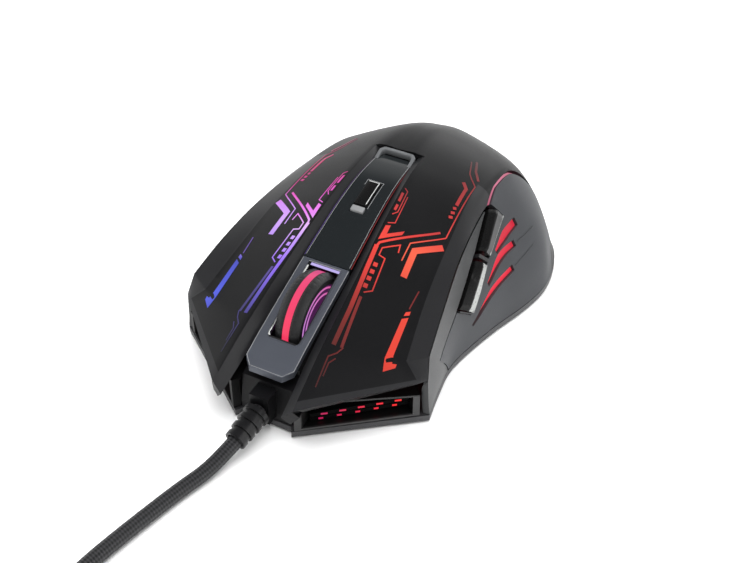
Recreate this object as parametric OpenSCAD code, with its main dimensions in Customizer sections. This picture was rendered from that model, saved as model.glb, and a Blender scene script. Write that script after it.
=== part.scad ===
// Wired gaming mouse, right-handed, as an assembly of separate pieces.
// Millimetres. Origin under the middle of the body, -Y is the cable end,
// +Y the palm end, +X the thumb side, +Z up. The feet stand on z = 0.

/* [Body] */
// Length of the body without its cable
body_length = 119.2; // [118:0.2:121]
// Width over the thumb and outer skirts
body_width = 87.2; // [86:0.2:89]
// Height of the palm hump
body_height = 38.6; // [38:0.2:39.6]
// Wall of the moulded covers
wall = 1.8; // [1.4:0.1:2.2]
// Seam between neighbouring covers
seam = 0.3; // [0.2:0.05:0.4]

/* [Wheel] */
// Diameter of the scroll wheel over its tyre
wheel_d = 24.6; // [23:0.1:25]
// Width of the scroll wheel
wheel_w = 7; // [6:0.1:7.2]
// Diameter of the wheel's axle
axle_d = 2.4; // [2:0.1:3]

/* [Base] */
// Thickness of the base plate
base_t = 1.8; // [1.5:0.1:2.4]
// Height of the feet's gliding faces under the base plate
foot_h = 0.6; // [0.4:0.1:0.9]
// Thickness of the circuit boards
pcb_t = 1.6; // [1:0.2:1.6]
// Bore of the screw posts
post_bore = 2.5; // [2.2:0.1:3]

/* [Cable] */
// Diameter of the braided cable
cable_d = 4; // [3.5:0.1:4]
// Radius of the middle turn of the stored coil
coil_r = 23.3; // [20:0.1:24]
// Width of the coil's bundle of turns
coil_w = 12.4; // [12:0.2:20]
// Height of the coil's bundle of turns
coil_h = 16.4; // [8:0.2:18]

/* [Hidden] */
$fn = 48;

// The guide lines are drawn at this width, length and height
drawn = [87.2, 119.2, 38.6];
size_k = [body_width / drawn[0], body_length / drawn[1], body_height / drawn[2]];
base_top = foot_h + base_t;
skirt_z = base_top + seam;
pcb_z = 7;
pcb_top = pcb_z + pcb_t;
wheel_c = [0, -29.8, 18.5];
switch_at = [15.9, -33];
post_at = [[-20, -15], [20, -15], [-16, 24], [16, 24]];
flex_v = 3.2;
strip_end_v = 4.2;

// Guide lines of the outer skin: middle line, channel crest, flat top edge,
// ridge, shoulder, flank and skirt, each from the front edge to the palm's foot
mid = [[0, -58, 15], [0, -43, 21.8], [0, -21, 29.6], [0, -1, 36], [0, 18, 38.6],
  [0, 39, 36.2], [0, 56, 24], [0, 60, skirt_z]];
right_lines = [mid,
  [[11.5, -58, 15], [10.8, -43, 21.8], [9.8, -21, 29.6], [8.6, -1, 36], [7.4, 18, 38.6],
    [7.5, 39, 36.2], [7.5, 55.6, 24], [7.5, 59.7, skirt_z]],
  [[34, -35, 14.4], [29.5, -33, 18.4], [26.4, -16, 23.6], [24.6, 0, 28.3], [23, 20, 33],
    [22.5, 38.5, 31.8], [21.5, 52.5, 21.5], [20.5, 57.2, skirt_z]],
  [[35.6, -33, 14.4], [34.5, -30.5, 20.2], [31.6, -16, 23.3], [28.6, 1, 27.2], [26.8, 21, 29],
    [27.8, 37.5, 27.5], [30, 49, 17.5], [30, 53.2, skirt_z]],
  [[35.8, -33, 10], [35, -27, 14], [33, -14, 15], [32.8, 1, 18], [34, 19, 19.5],
    [36.8, 34, 17], [37.5, 42.5, 11], [36.5, 48.4, skirt_z]],
  [[36, -33, 6], [35.2, -25, 8], [33.6, -12, 8], [36, 2, 9], [39.5, 18, 10],
    [41.5, 30, 9.5], [41.5, 36, 6.5], [40.3, 43.4, skirt_z]],
  [[36.4, -33, skirt_z], [34.8, -24, skirt_z], [33.9, -13, skirt_z], [37.4, 3, skirt_z],
    [41.6, 16, skirt_z], [43.6, 25, skirt_z], [43.6, 32, skirt_z], [42.6, 37.5, skirt_z]]];
left_lines = [mid,
  [[-11.5, -58, 15], [-10.8, -43, 21.8], [-9.8, -21, 29.6], [-8.6, -1, 36], [-7.4, 18, 38.3],
    [-7, 38.5, 35], [-6.8, 54.8, 23], [-6.8, 59.6, skirt_z]],
  [[-34, -35, 14.4], [-29.5, -33, 18.4], [-28, -16, 23.2], [-26.5, -1, 27], [-23.5, 18, 30],
    [-20, 37, 28.8], [-19.5, 51, 18.5], [-19, 57, skirt_z]],
  [[-35.6, -33, 14.4], [-34.5, -30.5, 20.2], [-34.6, -16, 22], [-33.2, 0, 24], [-30, 18, 25.5],
    [-26.5, 36, 24.5], [-27, 47.5, 14.5], [-27, 53.6, skirt_z]],
  [[-35.8, -33, 10], [-35, -27, 14], [-34.2, -14, 15], [-34.6, 1, 16], [-35, 18, 16.5],
    [-34, 33, 15], [-34, 42.5, 9.5], [-33.2, 49.2, skirt_z]],
  [[-36, -33, 6], [-35.2, -25, 8], [-34.4, -12, 8], [-36.8, 2, 9], [-39.3, 17, 9.5],
    [-40.5, 29, 9], [-39.6, 37, 5.5], [-38.4, 44, skirt_z]],
  [[-36.4, -33, skirt_z], [-34.8, -24, skirt_z], [-34.6, -12, skirt_z], [-37.6, 3, skirt_z],
    [-41.2, 16, skirt_z], [-43.2, 25, skirt_z], [-42.8, 32, skirt_z], [-41.8, 37.5, skirt_z]]];

// Point on one guide line at station v, a Catmull-Rom curve whose first
// stretch is straight on a line with a corner at its second point
function curve(p0, p1, p2, p3, t) = 0.5 * (2 * p1 + (p2 - p0) * t
  + (2 * p0 - 5 * p1 + 4 * p2 - p3) * t * t + (3 * p1 - p0 - 3 * p2 + p3) * t * t * t);
function along(k, v, corner = false) =
  let (n = len(k) - 1, i = min(n - 1, max(0, floor(v))), t = v - i, p1 = k[i], p2 = k[i + 1],
    straight = corner && i == 0,
    p0 = i == 0 || (corner && i == 1) ? 2 * p1 - p2 : k[i - 1],
    p3 = i + 2 > n ? 2 * p2 - p1 : k[i + 2])
  straight ? p1 + (p2 - p1) * t : curve(p0, p1, p2, p3, t);
function ease(a, b, x) = let (t = min(1, max(0, (x - a) / (b - a)))) t * t * (3 - 2 * t);
function scaled(p) = [p[0] * size_k[0], p[1] * size_k[1], p[2] * size_k[2]];

// Point of the outer skin at station v and lateral place u, which counts the
// guide lines from the middle line, positive to the thumb side
function skin(v, u) =
  let (own = u < 0 ? left_lines : right_lines, far = u < 0 ? right_lines : left_lines,
    w = abs(u), i = min(5, floor(w)), t = w - i,
    p1 = along(own[i], v, i == 2 || i == 3), p2 = along(own[i + 1], v, i == 1 || i == 2),
    edge = i == 3 && v < 3,
    p0 = edge ? 2 * p1 - p2 : i == 0 ? along(far[1], v) : along(own[i - 1], v),
    p3 = i == 5 ? 2 * p2 - p1 : along(own[i + 2], v),
    flat = p1 + (p2 - p1) * t,
    s = i > 2 ? 1 : ease(3.2, 4.6, v))
  scaled(flat + (curve(p0, p1, p2, p3, t) - flat) * s);

function unit(a) = a / norm(a);
function mix(a, b, t) = a + (b - a) * t;
function on(list, s) = let (i = min(len(list) - 2, floor(s))) mix(list[i], list[i + 1], s - i);
function table(pairs, x) = lookup(x, pairs);

// Grid of [v, u] places between two borders given by matching corner points
function patch(top, bottom, per, across) =
  let (n = (len(top) - 1) * per)
  [for (i = [0:n]) [for (j = [0:across]) mix(on(top, i / per), on(bottom, i / per), j / across)]];
function placed(grid) = [for (row = grid) [for (q = row) skin(q[0], q[1])]];
// Outward normal of the skin at one place, and at a grid of places
step = 0.02;
function normal_at(v, u) = unit(cross(skin(v, min(6, u + step)) - skin(v, max(-6, u - step)),
  skin(min(7, v + step), u) - skin(max(0, v - step), u)));
function outward(grid) = [for (row = grid) [for (q = row) normal_at(q[0], q[1])]];
// Way out of the ridge's mitre at station v, leant off the wing or the rail
function mitre(v, s, wing_lean, rail_lean) =
  let (a = normal_at(v, 2.9 * s), b = normal_at(v, 3.1 * s))
  (a + b) / (1 + a * b) + a * rail_lean + b * wing_lean;
// Outward normals worked out from the points themselves
function normals(g, side) =
  let (a = len(g) - 1, b = len(g[0]) - 1)
  [for (i = [0:a]) [for (j = [0:b])
    side * unit(cross(g[i][min(b, j + 1)] - g[i][max(0, j - 1)],
      g[min(a, i + 1)][j] - g[max(0, i - 1)][j]))]];

// Closed shell between two offsets of a grid of points; the offsets are
// functions of the row and the column
module shell_of(g, nn, side, outer, inner) {
  a = len(g);
  b = len(g[0]);
  top = [for (i = [0:a - 1]) for (j = [0:b - 1]) g[i][j] + nn[i][j] * outer(i, j)];
  low = [for (i = [0:a - 1]) for (j = [0:b - 1]) let (p = g[i][j] + nn[i][j] * inner(i, j))
    [p[0], p[1], max(p[2], skirt_z)]];
  n = a * b;
  ring = concat([for (j = [0:b - 1]) j], [for (i = [1:a - 1]) i * b + b - 1],
    [for (j = [b - 2:-1:0]) (a - 1) * b + j], [for (i = [a - 2:-1:1]) i * b]);
  up = [for (i = [0:a - 2]) for (j = [0:b - 2]) for (f = [
    [i * b + j, i * b + j + 1, (i + 1) * b + j + 1], [i * b + j, (i + 1) * b + j + 1, (i + 1) * b + j]]) f];
  down = [for (f = up) [f[2] + n, f[1] + n, f[0] + n]];
  m = len(ring);
  wall_faces = [for (k = [0:m - 1]) let (p = ring[k], q = ring[(k + 1) % m])
    for (f = [[q, p, p + n], [q, p + n, q + n]]) f];
  faces = concat(up, down, wall_faces);
  polyhedron(concat(top, low), side > 0 ? [for (f = faces) [f[2], f[1], f[0]]] : faces);
}

// The same over a grid of [v, u] places
module shell(grid, side, outer, inner) {
  shell_of(placed(grid), outward(grid), side, outer, inner);
}

// Borders of the covers in [v, u]; the thumb side's are positive
g_u = seam / 20;
channel_half = [[0, 8.6], [1, 7.7], [2, 7.3], [3, 6.7], [4, 5.9], [5, 5.6]];
channel_drop = [[0, 2.6], [1, 2.8], [2, 2.6], [3, 2.0], [4, 1.5], [5, 1.4]];
function channel_edge(v, s) =
  let (p = skin(v, s)) [s * table(channel_half, v), p[1] - (v < 0.5 ? 1 - 2 * v : 0),
    p[2] - table(channel_drop, v)];
side_top = [[1.2, 4.22], [2.35, 3.86], [3.3, 3.45], [4.05, 3.0], [4.4, 2.7], [5.05, 2.6],
  [5.9, 2.95], [6.1, 3.4], [6.3, 4.2], [6.38, 6]];
palm_border = [[4.2, 2.87], [4.4, 2.7], [5.05, 2.6], [5.5, 2.75], [5.9, 2.95], [6.1, 3.4],
  [6.3, 4.2], [6.38, 6], [6.7, 6], [7, 6]];
palm_middle = [[4.2, 0], [4.4, 0], [4.8, 0], [5.15, 0], [5.5, 0], [5.8, 0], [6.1, 0],
  [6.45, 0], [6.7, 0], [7, 0]];
function mirrored(list) = [for (q = list) [q[0], -q[1]]];

// ---- covers ----
// Wing of the top cover between stations v0 and v1, from the channel's bevel
// to the ridge
module wing(s, v0, v1, rows, front_lip) {
  stations = [v0, v0 < 1 ? 1 : mix(v0, v1, 0.5), v1];
  rim = [for (q = side_top) [q[0], q[1] - g_u]];
  g = [for (i = [0:rows]) let (v = on(stations, 2 * i / rows), end = table(rim, max(v, 3.9)))
    concat([channel_edge(v, s)], [for (u = [1:0.25:2]) skin(v, s * u)],
      [for (u = [2.25:0.25:3]) skin(v, s * min(u, end, 3 - g_u / 2))])];
  last = len(g[0]) - 1;
  // The wall deepens into a lip at the front edge and thins beside the ridge
  lip = function(i, j) j >= last - 1 ? -0.75 * wall
    : -(wall + front_lip * (1 - ease(0, 0.4, on(stations, 2 * i / rows))));
  own = normals(g, s);
  nn = [for (i = [0:rows]) [for (j = [0:last])
    j == last ? mitre(on(stations, 2 * i / rows), s, 0.3, 0) : own[i][j]]];
  shell_of(g, nn, s, function(i, j) 0, lip);
}

// Square post that carries a main button's press down to its switch
module press_post(s) {
  translate([s * switch_at[0] - 1.6, switch_at[1] - 1.6, pcb_top + 6.9]) cube([3.2, 3.2, 6.6]);
}

module main_button(s) {
  color([0.05, 0.05, 0.055]) resize([0, 0, 0]) union() {
    wing(s, 0, flex_v - g_u / 2, 26, 1.4);
    press_post(s);
  }
}
module left_button() { main_button(-1); }
module right_button() { main_button(1); }

module palm_cover() {
  per = 3;
  halves = 10;
  right = patch(palm_middle, palm_border, per, halves);
  left = patch(palm_middle, mirrored(palm_border), per, halves);
  g = [for (i = [0:len(right) - 1]) concat(
    [for (j = [halves:-1:1]) [left[i][j][0], left[i][j][1] + g_u]],
    [for (j = [0:halves]) [right[i][j][0], right[i][j][1] - (j > 0 ? g_u : 0)]])];
  color([0.05, 0.05, 0.055]) resize([0, 0, 0]) union() {
    shell(g, 1, function(i, j) 0, function(i, j) -wall);
    for (s = [-1, 1]) wing(s, flex_v + g_u / 2, strip_end_v + 0.01, 8, 0);
  }
}

// Grey rail under the ridge with the front corner block
rail_top = [[0, 3.15], [0.7, 3.1], [1.15, 3.06], [2.33, 3.06], [3.3, 3.05], [3.9, 3.045]];
rail_low = [[0, 6], [1.72, 6], [1.17, 4.2], [2.33, 3.83], [3.3, 3.42], [3.9, 3.07]];
module side_rail(s) {
  g = patch([for (q = rail_top) [q[0], s * q[1]]], [for (q = rail_low) [q[0], s * q[1]]], 6, 8);
  own = outward(g);
  nn = [for (i = [0:len(g) - 1]) [for (j = [0:8]) j == 0 ? mitre(g[i][0][0], s, 0, 0.35) : own[i][j]]];
  // The wall thins towards the ridge, clear of the wing's own wall
  thin = function(i, j) -wall * min(1, 0.4 + 1.1 * abs(g[i][j][1] - g[i][0][1]));
  color([0.2, 0.2, 0.21]) shell_of(placed(g), nn, s, function(i, j) 0, thin);
}
module left_side_rail() { side_rail(-1); }
module right_side_rail() { side_rail(1); }

// Thumb grip, with the side buttons' slot along its top border
grip_top = [[1.21, 4.26], [2.34, 3.9], [2.66, 4.58], [3.45, 3.92], [4.28, 3.5], [4.1, 3.02],
  [4.42, 2.74], [5.05, 2.64], [5.88, 2.99], [6.08, 3.44], [6.265, 4.2]];
grip_low = [[1.77, 6], [2.35, 6], [2.7, 6], [3.45, 6], [4.35, 6], [5.3, 6],
  [5.42, 6], [5.65, 6], [6, 6], [6.18, 6], [6.31, 6]];
outer_top = [[1.21, 4.26], [2.34, 3.89], [2.8, 3.7], [3.3, 3.49], [3.7, 3.27], [4.07, 3.04],
  [4.42, 2.74], [5.05, 2.64], [5.88, 2.99], [6.08, 3.44], [6.27, 4.2]];
outer_low = [[1.77, 6], [2.35, 6], [2.8, 6], [3.4, 6], [4, 6], [4.5, 6],
  [4.85, 6], [5.35, 6], [5.85, 6], [6.13, 6], [6.31, 6]];

// Curved slots in the thumb grip, each from its wide rear end to its tip
claws = [[[4.5, 3.72], [4.05, 3.82], [3.64, 4.0]], [[4.24, 4.1], [3.75, 4.12], [3.3, 4.36]],
  [[3.95, 4.56], [3.3, 4.62], [2.62, 5.0]]];
claw_half = [0.08, 0.11, 0.06];
module claw(k, grow, outer, inner) {
  c = claws[k];
  mids = [for (i = [0:10]) along(c, i / 5)];
  half = [for (i = [0:10]) on(claw_half, i / 5) + grow / 10];
  g = [for (i = [10:-1:0]) [[mids[i][0], mids[i][1] - half[i]], [mids[i][0], mids[i][1] + half[i]]]];
  shell(g, 1, function(i, j) outer, function(i, j) inner);
}

module thumb_grip() {
  g = patch(grip_top, grip_low, 4, 14);
  color([0.27, 0.27, 0.28]) resize([0, 0, 0]) difference() {
    shell(g, 1, function(i, j) 0, function(i, j) -wall);
    for (k = [0:2]) claw(k, 0, 3, -wall - 3);
  }
}
module outer_grip() {
  g = patch(mirrored(outer_top), mirrored(outer_low), 3, 12);
  color([0.27, 0.27, 0.28]) shell(g, -1, function(i, j) 0, function(i, j) -wall);
}

// Red light guide behind the thumb grip, with a fin in each slot
module thumb_light_guide() {
  g = patch([[2.9, 4.4], [3.6, 4.0], [4.6, 3.5]], [[2.9, 5.2], [3.6, 4.9], [4.6, 4.5]], 5, 5);
  color([0.9, 0.1, 0.12]) resize([0, 0, 0]) union() {
    shell(g, 1, function(i, j) -wall - 0.3, function(i, j) -wall - 1.5);
    for (k = [0:2]) claw(k, -0.3, -0.7, -wall - 0.9);
  }
}

// Light guide plates under the wings
module cover_light(s) {
  g = patch([[1.75, s * 1.35], [2.3, s * 1.3], [3, s * 1.35]],
    [[1.75, s * 2.45], [2.3, s * 2.5], [3, s * 2.5]], 5, 6);
  color(s > 0 ? [0.9, 0.2, 0.1] : [0.35, 0.3, 0.9])
    shell(g, s, function(i, j) -wall - 1.6, function(i, j) -wall - 2.6);
}
module left_cover_light() { cover_light(-1); }
module right_cover_light() { cover_light(1); }

// ---- side buttons ----
function button_top(k) = k == 0 ? [[2.42, 3.91], [2.85, 3.72], [3.23, 3.56]]
  : [[3.38, 3.48], [3.7, 3.29], [4.01, 3.1]];
function button_low(k) = k == 0 ? [[2.68, 4.46], [3.04, 4.17], [3.38, 3.87]]
  : [[3.53, 3.79], [3.88, 3.61], [4.2, 3.46]];
bulge = [0.5, 1.1, 1.5, 1.6];
module side_button(k) {
  g = patch(button_top(k), [for (i = [0:2]) mix(button_top(k)[i], button_low(k)[i], 0.55)], 4, 3);
  color([0.03, 0.03, 0.035]) shell(g, 1, function(i, j) bulge[j], function(i, j) -2.6);
}
module side_trim(k) {
  g = patch([for (i = [0:2]) mix(button_top(k)[i], button_low(k)[i], 0.57)], button_low(k), 4, 3);
  color([0.75, 0.75, 0.77]) shell(g, 1, function(i, j) 1.55 - 0.35 * j, function(i, j) -1.4);
}
module forward_button() { side_button(0); }
module back_button() { side_button(1); }
module forward_trim() { side_trim(0); }
module back_trim() { side_trim(1); }

// Black frame around the side buttons: front collar and divider
module side_button_frame() {
  collar = [[[2.368, 3.93], [2.644, 4.5]], [[2.4, 3.93], [2.668, 4.48]]];
  divider = [[[3.28, 3.53], [3.43, 3.85]], [[3.33, 3.51], [3.48, 3.82]]];
  color([0.04, 0.04, 0.045]) {
    shell(collar, 1, function(i, j) 0.5, function(i, j) -3.6);
    shell(divider, 1, function(i, j) 0.9, function(i, j) -3.6);
  }
}

// ---- centre strip ----
// Top line of the strip in [y, z]
strip_line = [[-52.4, 17.5], [-43, 21], [-32, 24.9], [-21, 28.6], [-10, 32.3], [-1, 35.1],
  [8, 36.9], [16, 37.2], [23.4, 36.6]];
function strip_at(y0, y1, n, d) = [for (i = [0:n]) let (y = mix(y0, y1, i / n),
  k = len([for (q = strip_line) if (q[0] <= y) 1]) - 1, j = min(len(strip_line) - 2, max(0, k)),
  t = (y - strip_line[j][0]) / (strip_line[j + 1][0] - strip_line[j][0]),
  p0 = strip_line[max(0, j - 1)], p1 = strip_line[j], p2 = strip_line[j + 1],
  p3 = strip_line[min(len(strip_line) - 1, j + 2)])
  [y, curve(p0[1], p1[1], p2[1], p3[1], t) + d]];
// Slab that follows the strip's top line, cut to a plan outline
module strip_slab(outline, y0, y1, top, bottom, n = 12) {
  intersection() {
    translate([-12, 0, 0]) rotate([90, 0, 90])
      linear_extrude(24) polygon(concat(strip_at(y0, y1, n, top), strip_at(y1, y0, n, bottom)));
    linear_extrude(60) difference() {
      polygon(outline);
      children();
    }
  }
}
module box2(x, y0, y1) { translate([-x, y0]) square([2 * x, y1 - y0]); }

slot_y = [-43.2, -20.6];
module wheel_surround() {
  color([0.3, 0.31, 0.34])
    strip_slab([[-4.7, -51.6], [4.7, -51.6], [6.9, -49.2], [6.7, -20], [-6.7, -20], [-6.9, -49.2]],
      -52, -19.8, 0, -1.8) polygon([[-4.9, slot_y[0] + 1], [-3.9, slot_y[0]], [3.9, slot_y[0]],
        [4.9, slot_y[0] + 1], [4.9, slot_y[1]], [-4.9, slot_y[1]]]);
}
module wheel_slot_trim() {
  color([0.85, 0.85, 0.88])
    strip_slab([[-4.8, slot_y[0] + 1.1], [-3.8, slot_y[0] + 0.1], [3.8, slot_y[0] + 0.1],
      [4.8, slot_y[0] + 1.1], [4.8, slot_y[1] - 0.1], [-4.8, slot_y[1] - 0.1]],
      slot_y[0], slot_y[1], -0.4, -1.2) box2(4.2, slot_y[0] + 0.7, slot_y[1] - 0.5);
}
dpi_y = [-1.3, 7.3];
module centre_strip() {
  color([0.03, 0.04, 0.06])
    strip_slab([[-6.7, -19.8], [6.7, -19.8], [6.1, 0], [5.3, 20.2], [-5.3, 20.2], [-6.1, 0]],
      -20, 20.4, 0, -1.8, 16) {
      box2(2.05, dpi_y[0] - 0.15, dpi_y[1] + 0.15);
      box2(2.05, -3.8, -1.75);
    }
}
module strip_end_cap() {
  color([0.75, 0.76, 0.78])
    strip_slab([[-5.3, 20.3], [5.3, 20.3], [5.1, 21.1], [4.1, 21.8], [-4.1, 21.8], [-5.1, 21.1]],
      20.2, 22, 0.5, -1.8, 3);
}
module dpi_button() {
  color([0.03, 0.03, 0.035])
    strip_slab([[-1.9, dpi_y[0]], [1.9, dpi_y[0]], [1.9, dpi_y[1]], [-1.9, dpi_y[1]]],
      dpi_y[0] - 1, dpi_y[1] + 1, 0.6, -3.4, 6);
}
module dpi_cap() {
  color([0.75, 0.76, 0.78])
    strip_slab([[-1.9, -3.6], [1.9, -3.6], [1.9, -1.9], [-1.9, -1.9]], -5, -1, 0.5, -1.8, 3);
}

// Inner frame under the strip: two ribs, cross walls, four screw towers and
// the pivot pins of the wheel's cradle
rib_x = 6.1;
rib_front = -46.2;
tower_z = pcb_top + 0.1;
module chassis() {
  color([0.06, 0.06, 0.065]) {
    for (s = [-1, 1]) difference() {
      translate([s * rib_x - 0.5, 0, 0]) rotate([90, 0, 90]) linear_extrude(1)
        polygon(concat([[rib_front, 10]], strip_at(rib_front, 21, 18, -2.1), [[24.8, 16], [24.8, 10]]));
      translate([s * rib_x - 1, wheel_c[1] - 2, wheel_c[2] - 2.5]) cube([2, 4, 4.2]);
    }
    for (s = [-1, 1]) translate([s > 0 ? 4 : -5.7, pivot[1], pivot[2]]) rotate([0, 90, 0])
      cylinder(d = 0.9, h = 1.7, $fn = 24);
    translate([-5.7, rib_front, 10]) cube([11.4, 1.4, 5.5]);
    translate([-5.7, 18, 10]) cube([11.4, 1.4, 22]);
    translate([-5.7, -13, 10]) cube([11.4, 1.6, 18]);
    difference() {
      for (q = post_at) union() {
        translate([q[0], q[1], tower_z]) cylinder(d = 6, h = 9);
        translate([q[0] > 0 ? 6.4 : q[0], q[1] - 0.8, 10]) cube([abs(q[0]) - 6.4, 1.6, 6]);
      }
      for (q = post_at) translate([q[0], q[1], tower_z - 1]) cylinder(d = post_bore, h = 8);
    }
  }
}

// DPI switch on a small shelf between the ribs
module dpi_switch() {
  color([0.1, 0.1, 0.11]) translate([-3, 0, 26.4]) cube([6, 6, 3.4]);
  color([0.6, 0.6, 0.6]) translate([0, 3, 29.8]) cylinder(d = 3, h = 1.9);
  color([0.1, 0.3, 0.15]) translate([-5.4, -3, 25]) cube([10.8, 12, 1.4]);
}

// ---- front ----
chin_w = 7.3;
cable_exit = [0, -55.4, 7.6];
module front_chin() {
  color([0.04, 0.04, 0.045]) difference() {
    union() {
      translate([-chin_w, 0, 0]) rotate([90, 0, 90]) linear_extrude(2 * chin_w)
        polygon([[-52.3, skirt_z], [-52.3, 5], [-50.8, 13.2], [-46.5, 14.6], [-46.5, skirt_z]]);
      translate([-2.7, -55.4, 3.6]) cube([5.4, 4.4, 8.6]);
    }
    translate([0, -44, cable_exit[2]]) rotate([90, 0, 0]) cylinder(d = cable_d + 0.1, h = 14);
  }
}

intake_a = [8.9, -53.8];
intake_b = [34.2, -34.4];
intake_len = norm(intake_b - intake_a);
intake_turn = atan2(intake_b[1] - intake_a[1], intake_b[0] - intake_a[0]);
bezel_depth = 5.5;
// Places a part in the intake's own frame: x along the mouth, y into the body
module at_intake(s) {
  mirror([s < 0 ? 1 : 0, 0, 0]) translate([intake_a[0], intake_a[1], 0]) rotate(intake_turn)
    children();
}
module intake_bezel(s) {
  color([0.2, 0.2, 0.21]) difference() {
    at_intake(s) difference() {
      translate([0, bezel_depth, 0]) rotate([90, 0, 0]) linear_extrude(bezel_depth)
        polygon([[0, skirt_z], [intake_len, skirt_z], [intake_len, 9.9], [0, 12.4]]);
      polyhedron([[1, -1, 3.3], [intake_len - 1.6, -1, 3.3], [intake_len - 1.6, -1, 9.5], [1, -1, 11.9],
        [6.5, bezel_depth + 1, 3.6], [intake_len - 2.6, bezel_depth + 1, 3.6],
        [intake_len - 2.6, bezel_depth + 1, 9.3], [5.5, bezel_depth + 1, 11.2]],
        [[3, 2, 1], [3, 1, 0], [4, 5, 6], [4, 6, 7], [0, 1, 5], [0, 5, 4], [1, 2, 6], [1, 6, 5],
        [2, 3, 7], [2, 7, 6], [3, 0, 4], [3, 4, 7]]);
    }
    translate([-chin_w - 0.3, -60, 0]) cube([2 * chin_w + 0.6, 20, 20]);
  }
}
module left_intake_bezel() { intake_bezel(-1); }
module right_intake_bezel() { intake_bezel(1); }

// Black grille with two rows of five lit windows
module intake_grille(s) {
  color([0.03, 0.03, 0.03]) at_intake(s) difference() {
    translate([3.6, bezel_depth + 0.2, 3.2]) cube([intake_len - 5.6, 1.2, 7.4]);
    for (i = [0:4], r = [0:1]) translate([9.5 + 4.6 * i, bezel_depth, 5.6 + 2.6 * r]) cube([2.2, 2, 1.1]);
  }
}
module left_intake_grille() { intake_grille(-1); }
module right_intake_grille() { intake_grille(1); }

// ---- scroll wheel ----
module on_wheel() { translate(wheel_c) rotate([0, 90, 0]) children(); }
wheel_r = wheel_d / 2;
pivot = [0, -16.2, 11.5];
ring_half = 0.9;
module wheel_tyre() {
  color([0.07, 0.07, 0.07]) on_wheel() for (s = [-1, 1])
    rotate_extrude($fn = 96) polygon([[wheel_r - 2.6, s * (ring_half + 0.05)],
      [wheel_r - 0.25, s * (ring_half + 0.05)], [wheel_r, s * 1.6],
      [wheel_r - 0.3, s * (wheel_w / 2 - 0.9)], [wheel_r - 1.2, s * wheel_w / 2],
      [wheel_r - 2.6, s * wheel_w / 2]]);
}
module wheel_light_ring() {
  color([1, 0.2, 0.5]) on_wheel() rotate_extrude($fn = 96)
    translate([wheel_r - 2.6, -ring_half]) square([2.4, 2 * ring_half]);
}
module wheel_hub() {
  color([0.7, 0.5, 0.85, 0.7]) on_wheel() difference() {
    union() {
      rotate_extrude($fn = 96) polygon([[6.4, -wheel_w / 2 + 0.3], [wheel_r - 2.65, -wheel_w / 2 + 0.3],
        [wheel_r - 2.65, wheel_w / 2 - 0.3], [6.4, wheel_w / 2 - 0.3]]);
      cylinder(r = 6.5, h = 3, center = true);
      cylinder(r = 2.6, h = wheel_w - 0.6, center = true);
    }
    cylinder(d = axle_d, h = wheel_w + 2, center = true);
    for (a = [0:60:300]) rotate(a) translate([4.5, 0, 0]) cylinder(d = 1.8, h = 8, center = true, $fn = 24);
  }
}
module wheel_axle() {
  color([0.8, 0.8, 0.82]) on_wheel() cylinder(d = axle_d, h = 19, center = true);
}
// Cradle that carries the wheel and tips down for the middle click
module wheel_cradle() {
  color([0.15, 0.15, 0.16]) difference() {
    union() {
      for (s = [-1, 1]) translate([s > 0 ? 4.2 : -5.2, 0, 0]) rotate([90, 0, 90])
        linear_extrude(1) polygon([[-43.4, 11], [-32, 11], [-30, 9.6], [-14.8, 9.6], [-14.8, 13.4],
          [-25, 21], [-33, 21], [-43.4, 15]]);
      translate([-4.3, -18.4, 9.6]) cube([8.6, 1.2, 3]);
      translate([-4.3, -43.4, 11]) cube([8.6, 1.2, 4]);
    }
    on_wheel() cylinder(d = axle_d + 0.1, h = 12, center = true);
    translate(pivot) rotate([0, 90, 0]) cylinder(d = 1, h = 12, center = true, $fn = 24);
  }
}
// Return spring of the middle click, drawn at its pressed length
module wheel_spring() {
  color([0.7, 0.7, 0.7]) translate([0, -42.8, pcb_top]) difference() {
    cylinder(d = 3, h = 1.4);
    translate([0, 0, -1]) cylinder(d = 2, h = 5);
  }
}
// Encoder at the axle's left end, whose slot lets the axle dip
module wheel_encoder() {
  color([0.1, 0.1, 0.12]) translate([-10.4, wheel_c[1] - 5.5, pcb_top]) difference() {
    cube([3.4, 11, 11.4]);
    translate([-1, 5.5 - axle_d / 2 - 0.4, wheel_c[2] - pcb_top - 2]) cube([6, axle_d + 0.5, 8]);
  }
}
// Switch of the middle click, just under the axle's right end
module wheel_switch() {
  color([0.1, 0.1, 0.1]) translate([7, wheel_c[1] - 2.6, pcb_top]) cube([5.2, 5.2, 7]);
  color([0.5, 0.5, 0.5]) translate([8.7, wheel_c[1], pcb_top + 6.9]) cylinder(d = 2.6, h = 1.25);
}

// ---- main switches ----
module micro_switch(s) {
  color([0.08, 0.08, 0.09]) translate([s * switch_at[0], switch_at[1], pcb_top]) difference() {
    translate([-2.9, -3, 0]) cube([5.8, 12.8, 6.3]);
    translate([0, 0, 4]) cylinder(d = 2.7, h = 4);
  }
}
module left_switch() { micro_switch(-1); }
module right_switch() { micro_switch(1); }
module plunger(s) {
  color([0.9, 0.9, 0.85]) translate([s * switch_at[0], switch_at[1], pcb_top + 4.5])
    cylinder(d = 2.6, h = 2.3);
}
module left_plunger() { plunger(-1); }
module right_plunger() { plunger(1); }

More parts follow.
